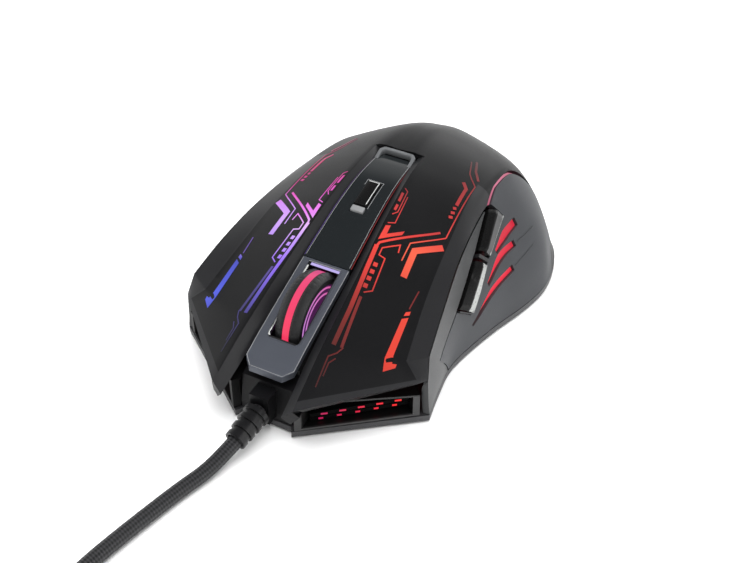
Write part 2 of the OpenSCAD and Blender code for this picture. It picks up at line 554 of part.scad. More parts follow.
// ---- boards ----
module main_pcb() {
  color([0.05, 0.25, 0.12]) difference() {
    translate([0, 0, pcb_z]) linear_extrude(pcb_t) difference() {
      polygon([[-6, -46], [6, -46], [27, -30.2], [27, -16], [24.5, -4], [20, 8], [20, 28], [12, 36],
        [-12, 36], [-20, 28], [-20, 8], [-24.5, -4], [-27, -16], [-27, -30.2]]);
      translate([-5.4, -40.2]) square([10.8, 22]);
      translate([-5, 2]) square([10, 10]);
    }
    translate([0, -44.7, pcb_z - 1]) cylinder(d = 1.6, h = 4, $fn = 24);
    for (q = post_at) translate([q[0], q[1], pcb_z - 1]) cylinder(d = post_bore + 0.6, h = 4);
  }
}
// Board behind the side buttons, square to the mean of their press directions
side_at = [24.55, 8.37, 17.96];
side_turn = [24.6, -28.4, -3.3];
side_pitch = 18.5;
module at_side() { translate(side_at) rotate(side_turn) children(); }
module side_pcb() {
  color([0.05, 0.25, 0.12]) at_side() translate([-1.2, -14, -4.5]) cube([1.2, 28, 9]);
}
module side_switches() {
  color([0.1, 0.1, 0.11]) at_side() for (s = [-1, 1]) translate([0, s * side_pitch / 2 - 3, -3]) {
    cube([3.4, 6, 6]);
    translate([3.3, 3, 3]) rotate([0, 90, 0]) cylinder(d = 3, h = 0.8);
  }
}
module optical_sensor() {
  color([0.06, 0.06, 0.06]) translate([-4.8, 2.2, 5.4]) cube([9.6, 9.6, 3.4]);
}
module sensor_lens() {
  color([0.8, 0.85, 0.9, 0.5]) translate([0, 7, 0]) {
    translate([0, 0, base_top + 0.1]) cylinder(d = 9, h = 2.6);
    translate([0, 0, 1.3]) cylinder(d = 5.6, h = 1.4);
  }
}
module controller_chip() {
  color([0.08, 0.08, 0.08]) translate([-5, 16, pcb_top]) cube([10, 10, 1.2]);
}
led_at = [[11, -39], [24.2, -25], [13, -9], [16.6, 10]];
module leds() {
  color([0.95, 0.9, 0.85]) for (s = [-1, 1], q = led_at)
    translate([s * q[0] - 1.6, q[1] - 1.4, pcb_top]) cube([3.2, 2.8, 1.9]);
}
module steel_weight() {
  color([0.6, 0.6, 0.62]) translate([-13, 38.5, base_top]) cube([26, 12, 7]);
}
module cable_connector() {
  color([0.9, 0.9, 0.85]) translate([-5, 29, pcb_top]) cube([10, 5, 5.2]);
}

// ---- base ----
function foot_edge(s) = [for (v = [0:0.25:7]) let (p = skin(v, s * 6)) [p[0], p[1]]];
function heel_edge() = concat([for (u = [5.5:-0.5:0]) let (p = skin(7, u)) [p[0], p[1]]],
  [for (u = [-0.5:-0.5:-5.5]) let (p = skin(7, u)) [p[0], p[1]]]);
function reversed(list) = [for (i = [len(list) - 1:-1:0]) list[i]];
// Outlines of the feet, grown by a clearance
function oval(a, b) = [for (k = [0:7.5:352.5]) [a * cos(k), b * sin(k)]];
module front_ovals(grow) {
  for (s = [-1, 1]) translate([s * 19.6, -37.6]) rotate(s * 37) polygon(oval(9 + grow, 4 + grow));
}
module rear_oval(grow) {
  translate([0, 47]) polygon(oval(23 + grow, 7.8 + grow));
}
module base_plate() {
  color([0.16, 0.16, 0.17]) difference() {
    union() {
      translate([0, 0, foot_h]) linear_extrude(base_t)
        polygon(concat([[8.2, -54.2]], foot_edge(1), heel_edge(), reversed(foot_edge(-1)),
          [[-8.2, -54.2], [-7.2, -52.6], [7.2, -52.6]]));
      for (q = post_at) translate([q[0], q[1], foot_h + 0.5]) cylinder(d = 6, h = pcb_z - foot_h - 0.5);
    }
    for (q = post_at) translate([q[0], q[1], -1]) {
      cylinder(d = post_bore, h = 12);
      cylinder(d = 4.8, h = 3.2);
    }
    translate([0, 7, 0]) cylinder(d = 6, h = 6);
    translate([0, 0, foot_h - 1]) linear_extrude(1.35) {
      front_ovals(0.2);
      rear_oval(0.2);
    }
  }
}
module case_screws() {
  color([0.7, 0.7, 0.72]) for (q = post_at) translate([q[0], q[1], 0]) {
    translate([0, 0, 0.9]) cylinder(d = 4.4, h = 1.2);
    translate([0, 0, 2]) cylinder(d = post_bore - 0.1, h = 12.6);
  }
}
module front_feet() { color([0.1, 0.1, 0.1]) linear_extrude(0.9) front_ovals(0); }
module rear_foot() { color([0.1, 0.1, 0.1]) linear_extrude(0.9) rear_oval(0); }

// ---- cable ----
// Middle lines of the cable's two open lengths and the places of its coil and plug
cable_route = [[0, -51, 7.6], [0, -55.4, 7.6], [-0.1, -58, 7.4], [-0.4, -61, 6.6], [-0.9, -64.5, 5.4],
  [-1.8, -68, 4.2], [-2.9, -72, 3], [-4.1, -76, 2.3], [-6.3, -83, 2.1], [-8.6, -92, 2.1],
  [-10.7, -101, 2.1], [-12.5, -110, 2.1], [-13.7, -120, 2.1], [-14.3, -130, 2.1], [-14.5, -140, 2.1],
  [-14.5, -148, 2.1]];
coil_at = [12.8, -148, 0.1];
tail_route = [[21.24, -173.96, 14.1], [26, -172.4, 14.1], [30.7, -170.8, 14], [35, -169, 13.6],
  [38.7, -166.5, 12.5], [41.9, -163.4, 11], [44.5, -159.8, 9.2], [46.5, -155.7, 7.3], [47.8, -151.2, 5.6],
  [48.3, -146.1, 4.5], [48.4, -140, 4.1]];
plug_at = [48.4, -140, 4.1];
// Tube of eight sides along a list of points
module tube(route, per, d) {
  pts = [for (i = [0:per * (len(route) - 1)]) along(route, i / per)];
  n = len(pts);
  rings = [for (i = [0:n - 1]) let (t = unit(pts[min(n - 1, i + 1)] - pts[max(0, i - 1)]),
    a = unit(cross(t, [0, 0, 1])), b = cross(a, t))
    for (k = [0:7]) pts[i] + (a * cos(45 * k) + b * sin(45 * k)) * d / 2];
  sides = [for (i = [0:n - 2]) for (k = [0:7]) let (p = i * 8 + k, q = i * 8 + (k + 1) % 8)
    for (f = [[p, p + 8, q + 8], [p, q + 8, q]]) f];
  polyhedron(rings, concat([[for (k = [0:7]) k]], sides, [[for (k = [7:-1:0]) (n - 1) * 8 + k]]));
}
module cable() { color([0.07, 0.07, 0.07]) tube(cable_route, 2, cable_d); }
module cable_tail() { color([0.07, 0.07, 0.07]) tube(tail_route, 2, cable_d); }
module cable_coil() {
  color([0.07, 0.07, 0.07]) translate(coil_at) rotate_extrude($fn = 96)
    translate([coil_r - coil_w / 2, 0]) polygon([[2, 0], [coil_w - 2, 0], [coil_w, 2], [coil_w, coil_h - 2],
      [coil_w - 2, coil_h], [2, coil_h], [0, coil_h - 2], [0, 2]]);
}
module cable_tie() {
  color([0.12, 0.12, 0.12]) translate([coil_at[0] - 3, coil_at[1] - coil_r, 0]) difference() {
    translate([0, -coil_w / 2 - 1.3, 0.1]) cube([6, coil_w + 2.6, coil_h + 1.4]);
    translate([-1, -coil_w / 2 - 0.3, -1]) cube([8, coil_w + 0.6, coil_h + 1.3]);
  }
}
// Tapered relief with ribs where the cable leaves the body
module strain_relief() {
  rib = [3.5, 2.9, 3.3, 2.75, 3.1, 2.6, 2.9];
  color([0.06, 0.06, 0.06]) translate([0, -56.2, 7.5]) rotate([90 + 12, 0, -6])
    difference() {
      for (i = [0:6]) translate([0, 0, i * 1.35]) cylinder(r = rib[i], h = 1.36);
      translate([0, 0, -1]) cylinder(d = cable_d + 0.6, h = 12);
    }
}
module usb_plug_body() {
  color([0.08, 0.08, 0.08]) translate(plug_at) rotate([-90, 0, 0]) {
    cylinder(d1 = 5.2, d2 = 6.4, h = 7);
    translate([-7.6, -3.9, 7]) cube([15.2, 7.8, 22]);
  }
}
module usb_plug_shell() {
  color([0.8, 0.8, 0.82]) translate(plug_at) rotate([-90, 0, 0]) translate([-6, -2.25, 29]) {
    difference() {
      cube([12, 4.5, 12]);
      translate([0.35, 0.35, 1]) cube([11.3, 3.8, 12]);
    }
    translate([0.6, 0.5, 1]) cube([10.8, 1.7, 10]);
  }
}

base_plate();
front_chin();
left_intake_bezel();
right_intake_bezel();
left_intake_grille();
right_intake_grille();
palm_cover();
left_button();
right_button();
left_side_rail();
right_side_rail();
thumb_grip();
outer_grip();
thumb_light_guide();
left_cover_light();
right_cover_light();
centre_strip();
strip_end_cap();
wheel_surround();
wheel_slot_trim();
dpi_button();
dpi_cap();
dpi_switch();
forward_button();
back_button();
forward_trim();
back_trim();
side_button_frame();
side_pcb();
side_switches();
wheel_hub();
wheel_tyre();
wheel_light_ring();
wheel_axle();
wheel_cradle();
wheel_spring();
wheel_encoder();
wheel_switch();
chassis();
main_pcb();
left_switch();
right_switch();
left_plunger();
right_plunger();
optical_sensor();
sensor_lens();
controller_chip();
leds();
steel_weight();
cable_connector();
case_screws();
front_feet();
rear_foot();
strain_relief();
cable();
cable_coil();
cable_tail();
cable_tie();
usb_plug_body();
usb_plug_shell();
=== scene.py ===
import math
from contextlib import contextmanager

import bmesh
import bpy
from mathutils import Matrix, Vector
from mathutils.geometry import delaunay_2d_cdt, tessellate_polygon


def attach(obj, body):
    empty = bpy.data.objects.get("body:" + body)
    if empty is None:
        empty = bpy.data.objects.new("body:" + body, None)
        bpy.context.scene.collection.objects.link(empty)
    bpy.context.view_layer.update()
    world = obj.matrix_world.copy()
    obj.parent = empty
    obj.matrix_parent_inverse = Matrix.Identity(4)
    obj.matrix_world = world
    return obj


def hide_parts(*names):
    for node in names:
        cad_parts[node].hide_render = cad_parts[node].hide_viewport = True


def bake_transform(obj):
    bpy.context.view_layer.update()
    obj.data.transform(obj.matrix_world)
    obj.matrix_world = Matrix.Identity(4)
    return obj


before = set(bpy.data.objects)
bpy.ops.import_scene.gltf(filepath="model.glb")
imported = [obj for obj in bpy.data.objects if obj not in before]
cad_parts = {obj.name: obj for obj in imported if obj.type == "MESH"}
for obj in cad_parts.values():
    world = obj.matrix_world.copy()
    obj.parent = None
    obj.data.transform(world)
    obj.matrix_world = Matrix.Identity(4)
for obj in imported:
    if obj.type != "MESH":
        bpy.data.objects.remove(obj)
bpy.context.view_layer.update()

MM = 0.001

# ---- small helpers: everything below is drawn in millimetres ----


def mix(a, b, t):
    return a + (b - a) * t


def ease(a, b, x):
    t = min(1.0, max(0.0, (x - a) / (b - a)))
    return t * t * (3 - 2 * t)


def table(pairs, x):
    """Value at x of a line through [x, value] pairs."""
    if x <= pairs[0][0]:
        return pairs[0][1]
    for (x0, y0), (x1, y1) in zip(pairs, pairs[1:]):
        if x <= x1:
            return mix(y0, y1, (x - x0) / (x1 - x0))
    return pairs[-1][1]


def curve(p0, p1, p2, p3, t):
    return 0.5 * (2 * p1 + (p2 - p0) * t + (2 * p0 - 5 * p1 + 4 * p2 - p3) * t * t
                  + (3 * p1 - p0 - 3 * p2 + p3) * t * t * t)


def along(points, v, corner=False):
    """Catmull-Rom point at v, straight up to the second point on a line with a corner there."""
    n = len(points) - 1
    i = min(n - 1, max(0, math.floor(v)))
    t = v - i
    p1, p2 = points[i], points[i + 1]
    if corner and i == 0:
        return p1 + (p2 - p1) * t
    p0 = 2 * p1 - p2 if i == 0 or (corner and i == 1) else points[i - 1]
    p3 = 2 * p2 - p1 if i + 2 > n else points[i + 2]
    return curve(p0, p1, p2, p3, t)


def vectors(rows):
    return [Vector(row) for row in rows]


# ---- materials ----


def feed(tree, node, inputs):
    """Sets a node's inputs; each value is a number, a colour or another node's output."""
    for slot, value in inputs.items():
        if isinstance(value, bpy.types.NodeSocket):
            tree.links.new(value, node.inputs[slot])
        else:
            node.inputs[slot].default_value = value


def add(tree, kind, inputs=(), **settings):
    """New shader node; the settings come first, as some inputs depend on them."""
    node = tree.nodes.new("ShaderNode" + kind)
    for name, value in settings.items():
        setattr(node, name, value)
    feed(tree, node, dict(inputs))
    return node


def calc(tree, operation, *values):
    """Output of a math node on the given numbers or outputs."""
    return add(tree, "Math", dict(enumerate(values)), operation=operation).outputs[0]


def ramp(tree, factor, stops):
    """Colour output of a ramp through (position, red, green, blue) stops."""
    node = add(tree, "ValToRGB", {"Fac": factor})
    marks = node.color_ramp.elements
    while len(marks) < len(stops):
        marks.new(0.5)
    for mark, (position, *colour) in zip(marks, stops):
        mark.position = position
        mark.color = (*colour, 1)
    return node.outputs["Color"]


def bump_normal(tree, height, strength, distance):
    """Normal output that follows the height, with the distance in metres."""
    bump = add(tree, "Bump", {"Strength": strength, "Distance": distance, "Height": height})
    return bump.outputs["Normal"]


def new_material(name):
    """New material, its node tree, its shader node and the outputs of its coordinate node."""
    material = bpy.data.materials.new(name)
    material.use_nodes = True
    tree = material.node_tree
    return material, tree, tree.nodes["Principled BSDF"], add(tree, "TexCoord").outputs


def paint_shade_past(tree, place, shade, origin, inward):
    """Painted shade: turns the colour black past the plane through origin, along inward."""
    offset = add(tree, "VectorMath", {0: place, 1: origin}, operation="SUBTRACT")
    depth = add(tree, "VectorMath", {0: offset.outputs["Vector"], 1: inward}, operation="DOT_PRODUCT")
    fade = add(tree, "MapRange", {"Value": depth.outputs["Value"], "From Max": 0.0004})
    blend = add(tree, "Mix", {"Factor": fade.outputs["Result"], "A": shade, "B": (0.003, 0.003, 0.003, 1)},
                data_type="RGBA")
    return blend.outputs["Result"]


def surface(name, colour, rough, metal=0.0, spread=0.12, grain=900, bump=0.05, coat=0.0, seen=1.0,
            shine=0.5, painted_shade_planes=()):
    """Solid finish whose colour, roughness and fine relief vary with noise; painted shade turns it black
    past each plane given.
    """
    material, tree, shader, places = new_material(name)
    place = places["Object"]
    fine = add(tree, "TexNoise", {"Vector": place, "Scale": grain, "Detail": 4}).outputs["Fac"]
    broad = add(tree, "TexNoise", {"Vector": place, "Scale": 45}).outputs["Fac"]
    low = [c * (1 - spread) for c in colour]
    high = [min(1, c * (1 + spread)) for c in colour]
    shade = ramp(tree, broad, [(0.3, *low), (0.7, *high)])
    # painted shade: black past each given plane
    for origin, inward in painted_shade_planes:
        shade = paint_shade_past(tree, place, shade, origin, inward)
    wear = add(tree, "MapRange", {"Value": fine, "To Min": rough * 0.88, "To Max": min(1, rough * 1.12)})
    feed(tree, shader, {
        "Base Color": shade, "Roughness": wear.outputs["Result"], "Metallic": metal, "Alpha": seen,
        "Normal": bump_normal(tree, fine, bump, 0.0002), "Specular IOR Level": shine,
        "Coat Weight": coat, "Coat Roughness": 0.08})
    return material


def glow(name, stops, strength=1.0, y_range=(-0.058, 0.03)):
    """Lit plastic whose colour runs along the body through (position, red, green, blue) stops."""
    material, tree, shader, places = new_material(name)
    place = places["Object"]
    split = add(tree, "SeparateXYZ", {"Vector": place})
    start, end = y_range
    run = add(tree, "MapRange", {"Value": split.outputs["Y"], "From Min": start, "From Max": end})
    noise = add(tree, "TexNoise", {"Vector": place, "Scale": 160}).outputs["Fac"]
    feed(tree, shader, {
        "Base Color": (0.01, 0.01, 0.01, 1), "Specular IOR Level": 0.2, "Roughness": 0.4,
        "Emission Color": ramp(tree, run.outputs["Result"], stops),
        "Emission Strength": calc(tree, "MULTIPLY_ADD", noise, 0.3 * strength, 0.85 * strength)})
    return material


def braid(name):
    """Two sets of crossing threads, by the tube's own unwrapped places."""
    material, tree, shader, places = new_material(name)
    split = add(tree, "SeparateXYZ", {"Vector": places["UV"]})
    around = calc(tree, "MULTIPLY", split.outputs["X"], 12 * math.pi)
    length = calc(tree, "MULTIPLY", split.outputs["Y"], 5 * math.pi)
    one = calc(tree, "SINE", calc(tree, "ADD", around, length))
    two = calc(tree, "SINE", calc(tree, "SUBTRACT", around, length))
    level = calc(tree, "MULTIPLY_ADD", calc(tree, "MULTIPLY", one, two), 0.5, 0.5)
    feed(tree, shader, {
        "Base Color": ramp(tree, level, [(0.25, 0.003, 0.003, 0.0035), (0.75, 0.024, 0.024, 0.026)]),
        "Normal": bump_normal(tree, level, 0.8, 0.0003), "Roughness": 0.6})
    return material


SOFT_BLACK = surface("soft_touch_black", (0.0035, 0.0035, 0.004), 0.46, bump=0.06, grain=2600, shine=0.2)
EDGE_BLACK = surface("edge_black", (0.011, 0.011, 0.012), 0.42, bump=0.06, grain=2600, shine=0.3)
GRAPHITE = surface("graphite_satin", (0.024, 0.025, 0.026), 0.42, grain=2000, shine=0.35)
SLATE = surface("slate_satin", (0.036, 0.038, 0.042), 0.5, grain=2200, shine=0.25)
STEEL_BLUE = surface("surround_satin", (0.075, 0.082, 0.1), 0.34, metal=0.5, grain=1800)
GLOSS = surface("gloss_black", (0.006, 0.008, 0.009), 0.14, coat=0.6, bump=0.01)
PIANO = surface("button_gloss", (0.004, 0.004, 0.004), 0.28, shine=0.22, bump=0.01)
KEY_GREY = surface("key_facet_grey", (0.03, 0.03, 0.031), 0.4, shine=0.35)
DEEP = surface("matt_inner_black", (0.006, 0.006, 0.006), 0.7)
VOID = surface("mouth_black", (0.0012, 0.0012, 0.0012), 0.8, shine=0.05)
RUBBER = surface("tyre_rubber", (0.009, 0.009, 0.0095), 0.5, bump=0.3, grain=1500, shine=0.35)
RELIEF = surface("strain_relief_rubber", (0.004, 0.004, 0.0045), 0.4, bump=0.1, grain=1500, shine=0.35)
SILVER = surface("silver_trim", (0.24, 0.245, 0.25), 0.34, metal=0.3, grain=1200)
FRAME_GREY = surface("strip_frame", (0.13, 0.135, 0.14), 0.34, metal=0.3, grain=1200)
CHROME = surface("chrome_trim", (0.3, 0.31, 0.3), 0.28, metal=0.25, bump=0.01)
PEARL = surface("slot_trim_pearl", (0.5, 0.51, 0.5), 0.3, metal=0.1)
STEEL = surface("steel", (0.5, 0.5, 0.52), 0.3, metal=1.0, grain=1400)
BOARD = surface("board_green", (0.01, 0.09, 0.04), 0.4, spread=0.3)
NYLON = surface("white_nylon", (0.62, 0.61, 0.56), 0.5)
GLIDE = surface("glide_pad", (0.015, 0.015, 0.016), 0.3)
LENS = surface("clear_lens", (0.5, 0.55, 0.6), 0.1, coat=0.5, seen=0.6)
BASE = surface("base_grey", (0.03, 0.03, 0.032), 0.5, bump=0.25, grain=1500)
BRAID = braid("braided_sleeve")
RED_NEAR = glow("red_lines_near", [
    (0.09, 0.04, 0.003, 0.003), (0.2, 0.1, 0.006, 0.004), (0.32, 0.25, 0.013, 0.009),
    (0.44, 0.7, 0.036, 0.028), (0.56, 0.95, 0.055, 0.035), (0.64, 0.75, 0.04, 0.035),
    (0.74, 0.36, 0.022, 0.028), (0.88, 0.1, 0.008, 0.012)])
RED_FAR = glow("red_lines_far", [
    (0.12, 0.42, 0.016, 0.01), (0.26, 0.8, 0.045, 0.022), (0.45, 0.88, 0.06, 0.032),
    (0.58, 1.0, 0.13, 0.06), (0.68, 0.85, 0.05, 0.04), (0.8, 0.5, 0.028, 0.03),
    (1.0, 0.08, 0.008, 0.01)])
BLUE_NEAR = glow("blue_lines_near", [
    (0.09, 0.01, 0.01, 0.03), (0.18, 0.03, 0.02, 0.14), (0.27, 0.11, 0.08, 0.5),
    (0.38, 0.28, 0.14, 0.88), (0.47, 0.58, 0.32, 1.0), (0.52, 0.82, 0.48, 1.0),
    (0.57, 0.82, 0.22, 0.9), (0.66, 0.78, 0.07, 0.55), (0.76, 0.55, 0.02, 0.2),
    (0.9, 0.1, 0.01, 0.05)])
BLUE_FAR = glow("blue_lines_far", [
    (0.11, 0.01, 0.015, 0.12), (0.2, 0.05, 0.06, 0.48), (0.28, 0.08, 0.11, 0.78),
    (0.4, 0.05, 0.06, 0.5), (0.46, 0.45, 0.25, 0.9), (0.55, 0.66, 0.38, 1.0),
    (0.63, 0.62, 0.24, 0.9), (0.72, 0.55, 0.02, 0.24), (0.83, 0.48, 0.01, 0.12),
    (1.0, 0.1, 0.005, 0.03)])
DIM_RED = glow("dim_red_lines", [
    (0.1, 0.06, 0.003, 0.003), (0.3, 0.22, 0.012, 0.01), (0.9, 0.12, 0.008, 0.012)])
DIM_BLUE = glow("dim_blue_lines", [
    (0.1, 0.008, 0.008, 0.03), (0.3, 0.06, 0.045, 0.24), (0.55, 0.16, 0.08, 0.4),
    (0.9, 0.1, 0.01, 0.05)])
RED_GUIDE = glow("red_guide", [
    (0.0, 0.3, 0.003, 0.01), (0.45, 0.75, 0.014, 0.03), (0.75, 0.88, 0.03, 0.06),
    (1.0, 0.6, 0.015, 0.04)])
VIOLET_TRIM = glow("slot_rear_light", [(0.0, 0.5, 0.42, 0.85), (1.0, 0.55, 0.45, 0.9)])
WHEEL_RUN = (-0.043, -0.018)
PINK_RING = glow("wheel_pink", [
    (0.0, 0.85, 0.035, 0.1), (0.6, 0.75, 0.05, 0.18), (1.0, 0.45, 0.05, 0.22)], 1.1, WHEEL_RUN)
VIOLET_HUB = glow("hub_violet", [(0.0, 0.05, 0.012, 0.07), (1.0, 0.07, 0.01, 0.06)], 1.0, WHEEL_RUN)
HUB_RING = glow("hub_ring", [
    (0.0, 0.62, 0.3, 0.85), (0.5, 0.75, 0.2, 0.6), (1.0, 0.8, 0.08, 0.25)], 0.9, WHEEL_RUN)
SEAM_PINK = glow("grip_seam", [
    (0.0, 0.35, 0.05, 0.1), (0.5, 0.7, 0.22, 0.33), (1.0, 0.3, 0.02, 0.06)], 1.0, (0.018, 0.045))
DOTS = glow("intake_dots", [
    (0.0, 0.3, 0.004, 0.1), (0.5, 0.55, 0.006, 0.05), (1.0, 0.9, 0.012, 0.012)], 1.2, (-0.052, -0.036))


def dress(obj, *materials):
    obj.data.materials.clear()
    for material in materials:
        obj.data.materials.append(material)


# ---- meshes ----


@contextmanager
def editing(mesh):
    """BMesh of a mesh, written back afterwards."""
    work = bmesh.new()
    work.from_mesh(mesh)
    yield work
    work.to_mesh(mesh)
    work.free()


def soften(mesh, degrees=32):
    """Smooth shading with sharp edges where the faces turn more than this."""
    with editing(mesh) as work:
        bmesh.ops.recalc_face_normals(work, faces=work.faces)
        for face in work.faces:
            face.smooth = True
        for edge in work.edges:
            edge.smooth = len(edge.link_faces) == 2 and edge.calc_face_angle(0) < math.radians(degrees)


def linked(name, data):
    """New object in the scene."""
    obj = bpy.data.objects.new(name, data)
    bpy.context.collection.objects.link(obj)
    return obj


def piece(name, points, faces, material, body, degrees=32):
    """Mesh from points in millimetres that rides on a CAD body."""
    mesh = bpy.data.meshes.new(name)
    mesh.from_pydata([tuple(Vector(p) * MM) for p in points], [], faces)
    mesh.update()
    soften(mesh, degrees)
    obj = linked(name, mesh)
    dress(obj, material)
    if body:
        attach(obj, body)
    return obj


def bevelled(obj, width, segments=2, degrees=30):
    """Rounds the sharp edges of a solid piece."""
    with editing(obj.data) as work:
        edges = [e for e in work.edges if e.calc_face_angle(0) > math.radians(degrees)]
        bmesh.ops.bevel(work, geom=edges, offset=width * MM, segments=segments, profile=0.5, affect="EDGES")
    soften(obj.data)


def merge_points(obj):
    """Joins points at the same place and drops the edges of no length."""
    same = 1e-7
    with editing(obj.data) as work:
        bmesh.ops.remove_doubles(work, verts=work.verts, dist=same)
        bmesh.ops.dissolve_degenerate(work, edges=work.edges, dist=same)
    soften(obj.data)


def box_parts(x0, x1, y0, y1, z0, z1):
    points = [Vector((x, y, z)) for z in (z0, z1) for y in (y0, y1) for x in (x0, x1)]
    return points, [(0, 2, 3, 1), (4, 5, 7, 6), (0, 1, 5, 4), (2, 6, 7, 3), (0, 4, 6, 2), (1, 3, 7, 5)]


def tube_faces(rings, sides, closed=False):
    """Quads between rings of points; a closed tube also joins its last ring to its first."""
    faces = []
    for i in range(rings if closed else rings - 1):
        a, b = i * sides, (i + 1) % rings * sides
        for k in range(sides):
            m = (k + 1) % sides
            faces.append((a + k, a + m, b + m, b + k))
    return faces


def revolve(profile, centre, steps, radius_of=None):
    """Ring about the X axis from (radius, x) points in a closed profile."""
    points = []
    for i in range(steps):
        a = 2 * math.pi * i / steps
        for j, (r, x) in enumerate(profile):
            rr = radius_of(i, j, r) if radius_of else r
            points.append(centre + Vector((x, rr * math.cos(a), rr * math.sin(a))))
    return points, tube_faces(steps, len(profile), True)


def rail_parts(path, ups, width, low, high):
    """Closed strip with a rectangular section along a path, mitred at its corners."""
    points = []
    n = len(path)
    for i, (p, up) in enumerate(zip(path, ups)):
        before = (p - path[i - 1]).normalized() if i else None
        after = (path[i + 1] - p).normalized() if i < n - 1 else None
        sides = [up.cross(d).normalized() for d in (before, after) if d is not None]
        side = sides[0]
        if len(sides) == 2:
            side = (sides[0] + sides[1]) / max(0.35, 1 + sides[0].dot(sides[1]))
        for lateral, height in ((-1, low), (1, low), (1, high), (-1, high)):
            points.append(p + side * lateral * width / 2 + up * height)
    ends = [(3, 2, 1, 0), tuple(4 * n - 4 + k for k in range(4))]
    return points, tube_faces(n, 4) + ends


def thickened(tops, unders, faces):
    """Solid between two sheets of matching points, with walls around every open edge."""
    n = len(tops)
    used = dict.fromkeys((a, b) for face in faces for a, b in zip(face, face[1:] + face[:1]))
    walls = [(b, a, a + n, b + n) for a, b in used if (b, a) not in used]
    return tops + unders, faces + [tuple(k + n for k in reversed(face)) for face in faces] + walls


def joined(parts):
    """Several (points, faces) pairs as one."""
    points, faces = [], []
    for more, sides in parts:
        base = len(points)
        points += more
        faces += [tuple(base + k for k in side) for side in sides]
    return points, faces


# ---- the outer skin, from the same guide lines as the CAD covers ----
# A place on it is (v, u): v is the station along the lines, 0 in front and 7 at the rear, and u
# is the line, from 0 in the middle to 6 at the skirt, below 0 on the left
WALL = 1.8
SEAM = 0.3
GAP = SEAM / 20  # the seam as a difference in u
SKIRT = 2.7  # height of the covers' lower edge
ROUNDED = (3.2, 4.6)  # between these stations the flat facets in front turn into a round back


def guide(*rows):
    """Guide line from front to rear; a place without a height lies at the skirt."""
    return [Vector((*row, SKIRT)[:3]) for row in rows]


MID = guide((0, -58, 15), (0, -43, 21.8), (0, -21, 29.6), (0, -1, 36), (0, 18, 38.6), (0, 39, 36.2),
            (0, 56, 24), (0, 60))
RIGHT = [
    MID,
    guide((11.5, -58, 15), (10.8, -43, 21.8), (9.8, -21, 29.6), (8.6, -1, 36), (7.4, 18, 38.6),
          (7.5, 39, 36.2), (7.5, 55.6, 24), (7.5, 59.7)),
    guide((34, -35, 14.4), (29.5, -33, 18.4), (26.4, -16, 23.6), (24.6, 0, 28.3), (23, 20, 33),
          (22.5, 38.5, 31.8), (21.5, 52.5, 21.5), (20.5, 57.2)),
    guide((35.6, -33, 14.4), (34.5, -30.5, 20.2), (31.6, -16, 23.3), (28.6, 1, 27.2), (26.8, 21, 29),
          (27.8, 37.5, 27.5), (30, 49, 17.5), (30, 53.2)),
    guide((35.8, -33, 10), (35, -27, 14), (33, -14, 15), (32.8, 1, 18), (34, 19, 19.5), (36.8, 34, 17),
          (37.5, 42.5, 11), (36.5, 48.4)),
    guide((36, -33, 6), (35.2, -25, 8), (33.6, -12, 8), (36, 2, 9), (39.5, 18, 10), (41.5, 30, 9.5),
          (41.5, 36, 6.5), (40.3, 43.4)),
    guide((36.4, -33), (34.8, -24), (33.9, -13), (37.4, 3), (41.6, 16), (43.6, 25), (43.6, 32),
          (42.6, 37.5))
]
LEFT = [
    MID,
    guide((-11.5, -58, 15), (-10.8, -43, 21.8), (-9.8, -21, 29.6), (-8.6, -1, 36), (-7.4, 18, 38.3),
          (-7, 38.5, 35), (-6.8, 54.8, 23), (-6.8, 59.6)),
    guide((-34, -35, 14.4), (-29.5, -33, 18.4), (-28, -16, 23.2), (-26.5, -1, 27), (-23.5, 18, 30),
          (-20, 37, 28.8), (-19.5, 51, 18.5), (-19, 57)),
    guide((-35.6, -33, 14.4), (-34.5, -30.5, 20.2), (-34.6, -16, 22), (-33.2, 0, 24), (-30, 18, 25.5),
          (-26.5, 36, 24.5), (-27, 47.5, 14.5), (-27, 53.6)),
    guide((-35.8, -33, 10), (-35, -27, 14), (-34.2, -14, 15), (-34.6, 1, 16), (-35, 18, 16.5),
          (-34, 33, 15), (-34, 42.5, 9.5), (-33.2, 49.2)),
    guide((-36, -33, 6), (-35.2, -25, 8), (-34.4, -12, 8), (-36.8, 2, 9), (-39.3, 17, 9.5),
          (-40.5, 29, 9), (-39.6, 37, 5.5), (-38.4, 44)),
    guide((-36.4, -33), (-34.8, -24), (-34.6, -12), (-37.6, 3), (-41.2, 16), (-43.2, 25), (-42.8, 32),
          (-41.8, 37.5))
]


def skin(v, u):
    """Point of the outer skin at station v and lateral place u, positive to the thumb side."""
    own, far = (LEFT, RIGHT) if u < 0 else (RIGHT, LEFT)
    w = abs(u)
    i = min(5, math.floor(w))
    t = w - i
    p1 = along(own[i], v, i in (2, 3))
    p2 = along(own[i + 1], v, i in (1, 2))
    if i == 3 and v < 3:
        p0 = 2 * p1 - p2
    elif i == 0:
        p0 = along(far[1], v)
    else:
        p0 = along(own[i - 1], v)
    p3 = 2 * p2 - p1 if i == 5 else along(own[i + 2], v)
    flat = p1 + (p2 - p1) * t
    round_off = 1 if i > 2 else ease(*ROUNDED, v)
    return flat + (curve(p0, p1, p2, p3, t) - flat) * round_off


def normal_at(v, u, step=0.02):
    across = skin(v, min(6, u + step)) - skin(v, max(-6, u - step))
    back = skin(min(7, v + step), u) - skin(max(0, v - step), u)
    return across.cross(back).normalized()


def mitre(v, s, wing_lean, rail_lean):
    """Direction from the ridge at line 3 in which the edges of wing and rail are set in."""
    a, b = normal_at(v, 2.9 * s), normal_at(v, 3.1 * s)
    return (a + b) / (1 + a.dot(b)) + a * rail_lean + b * wing_lean


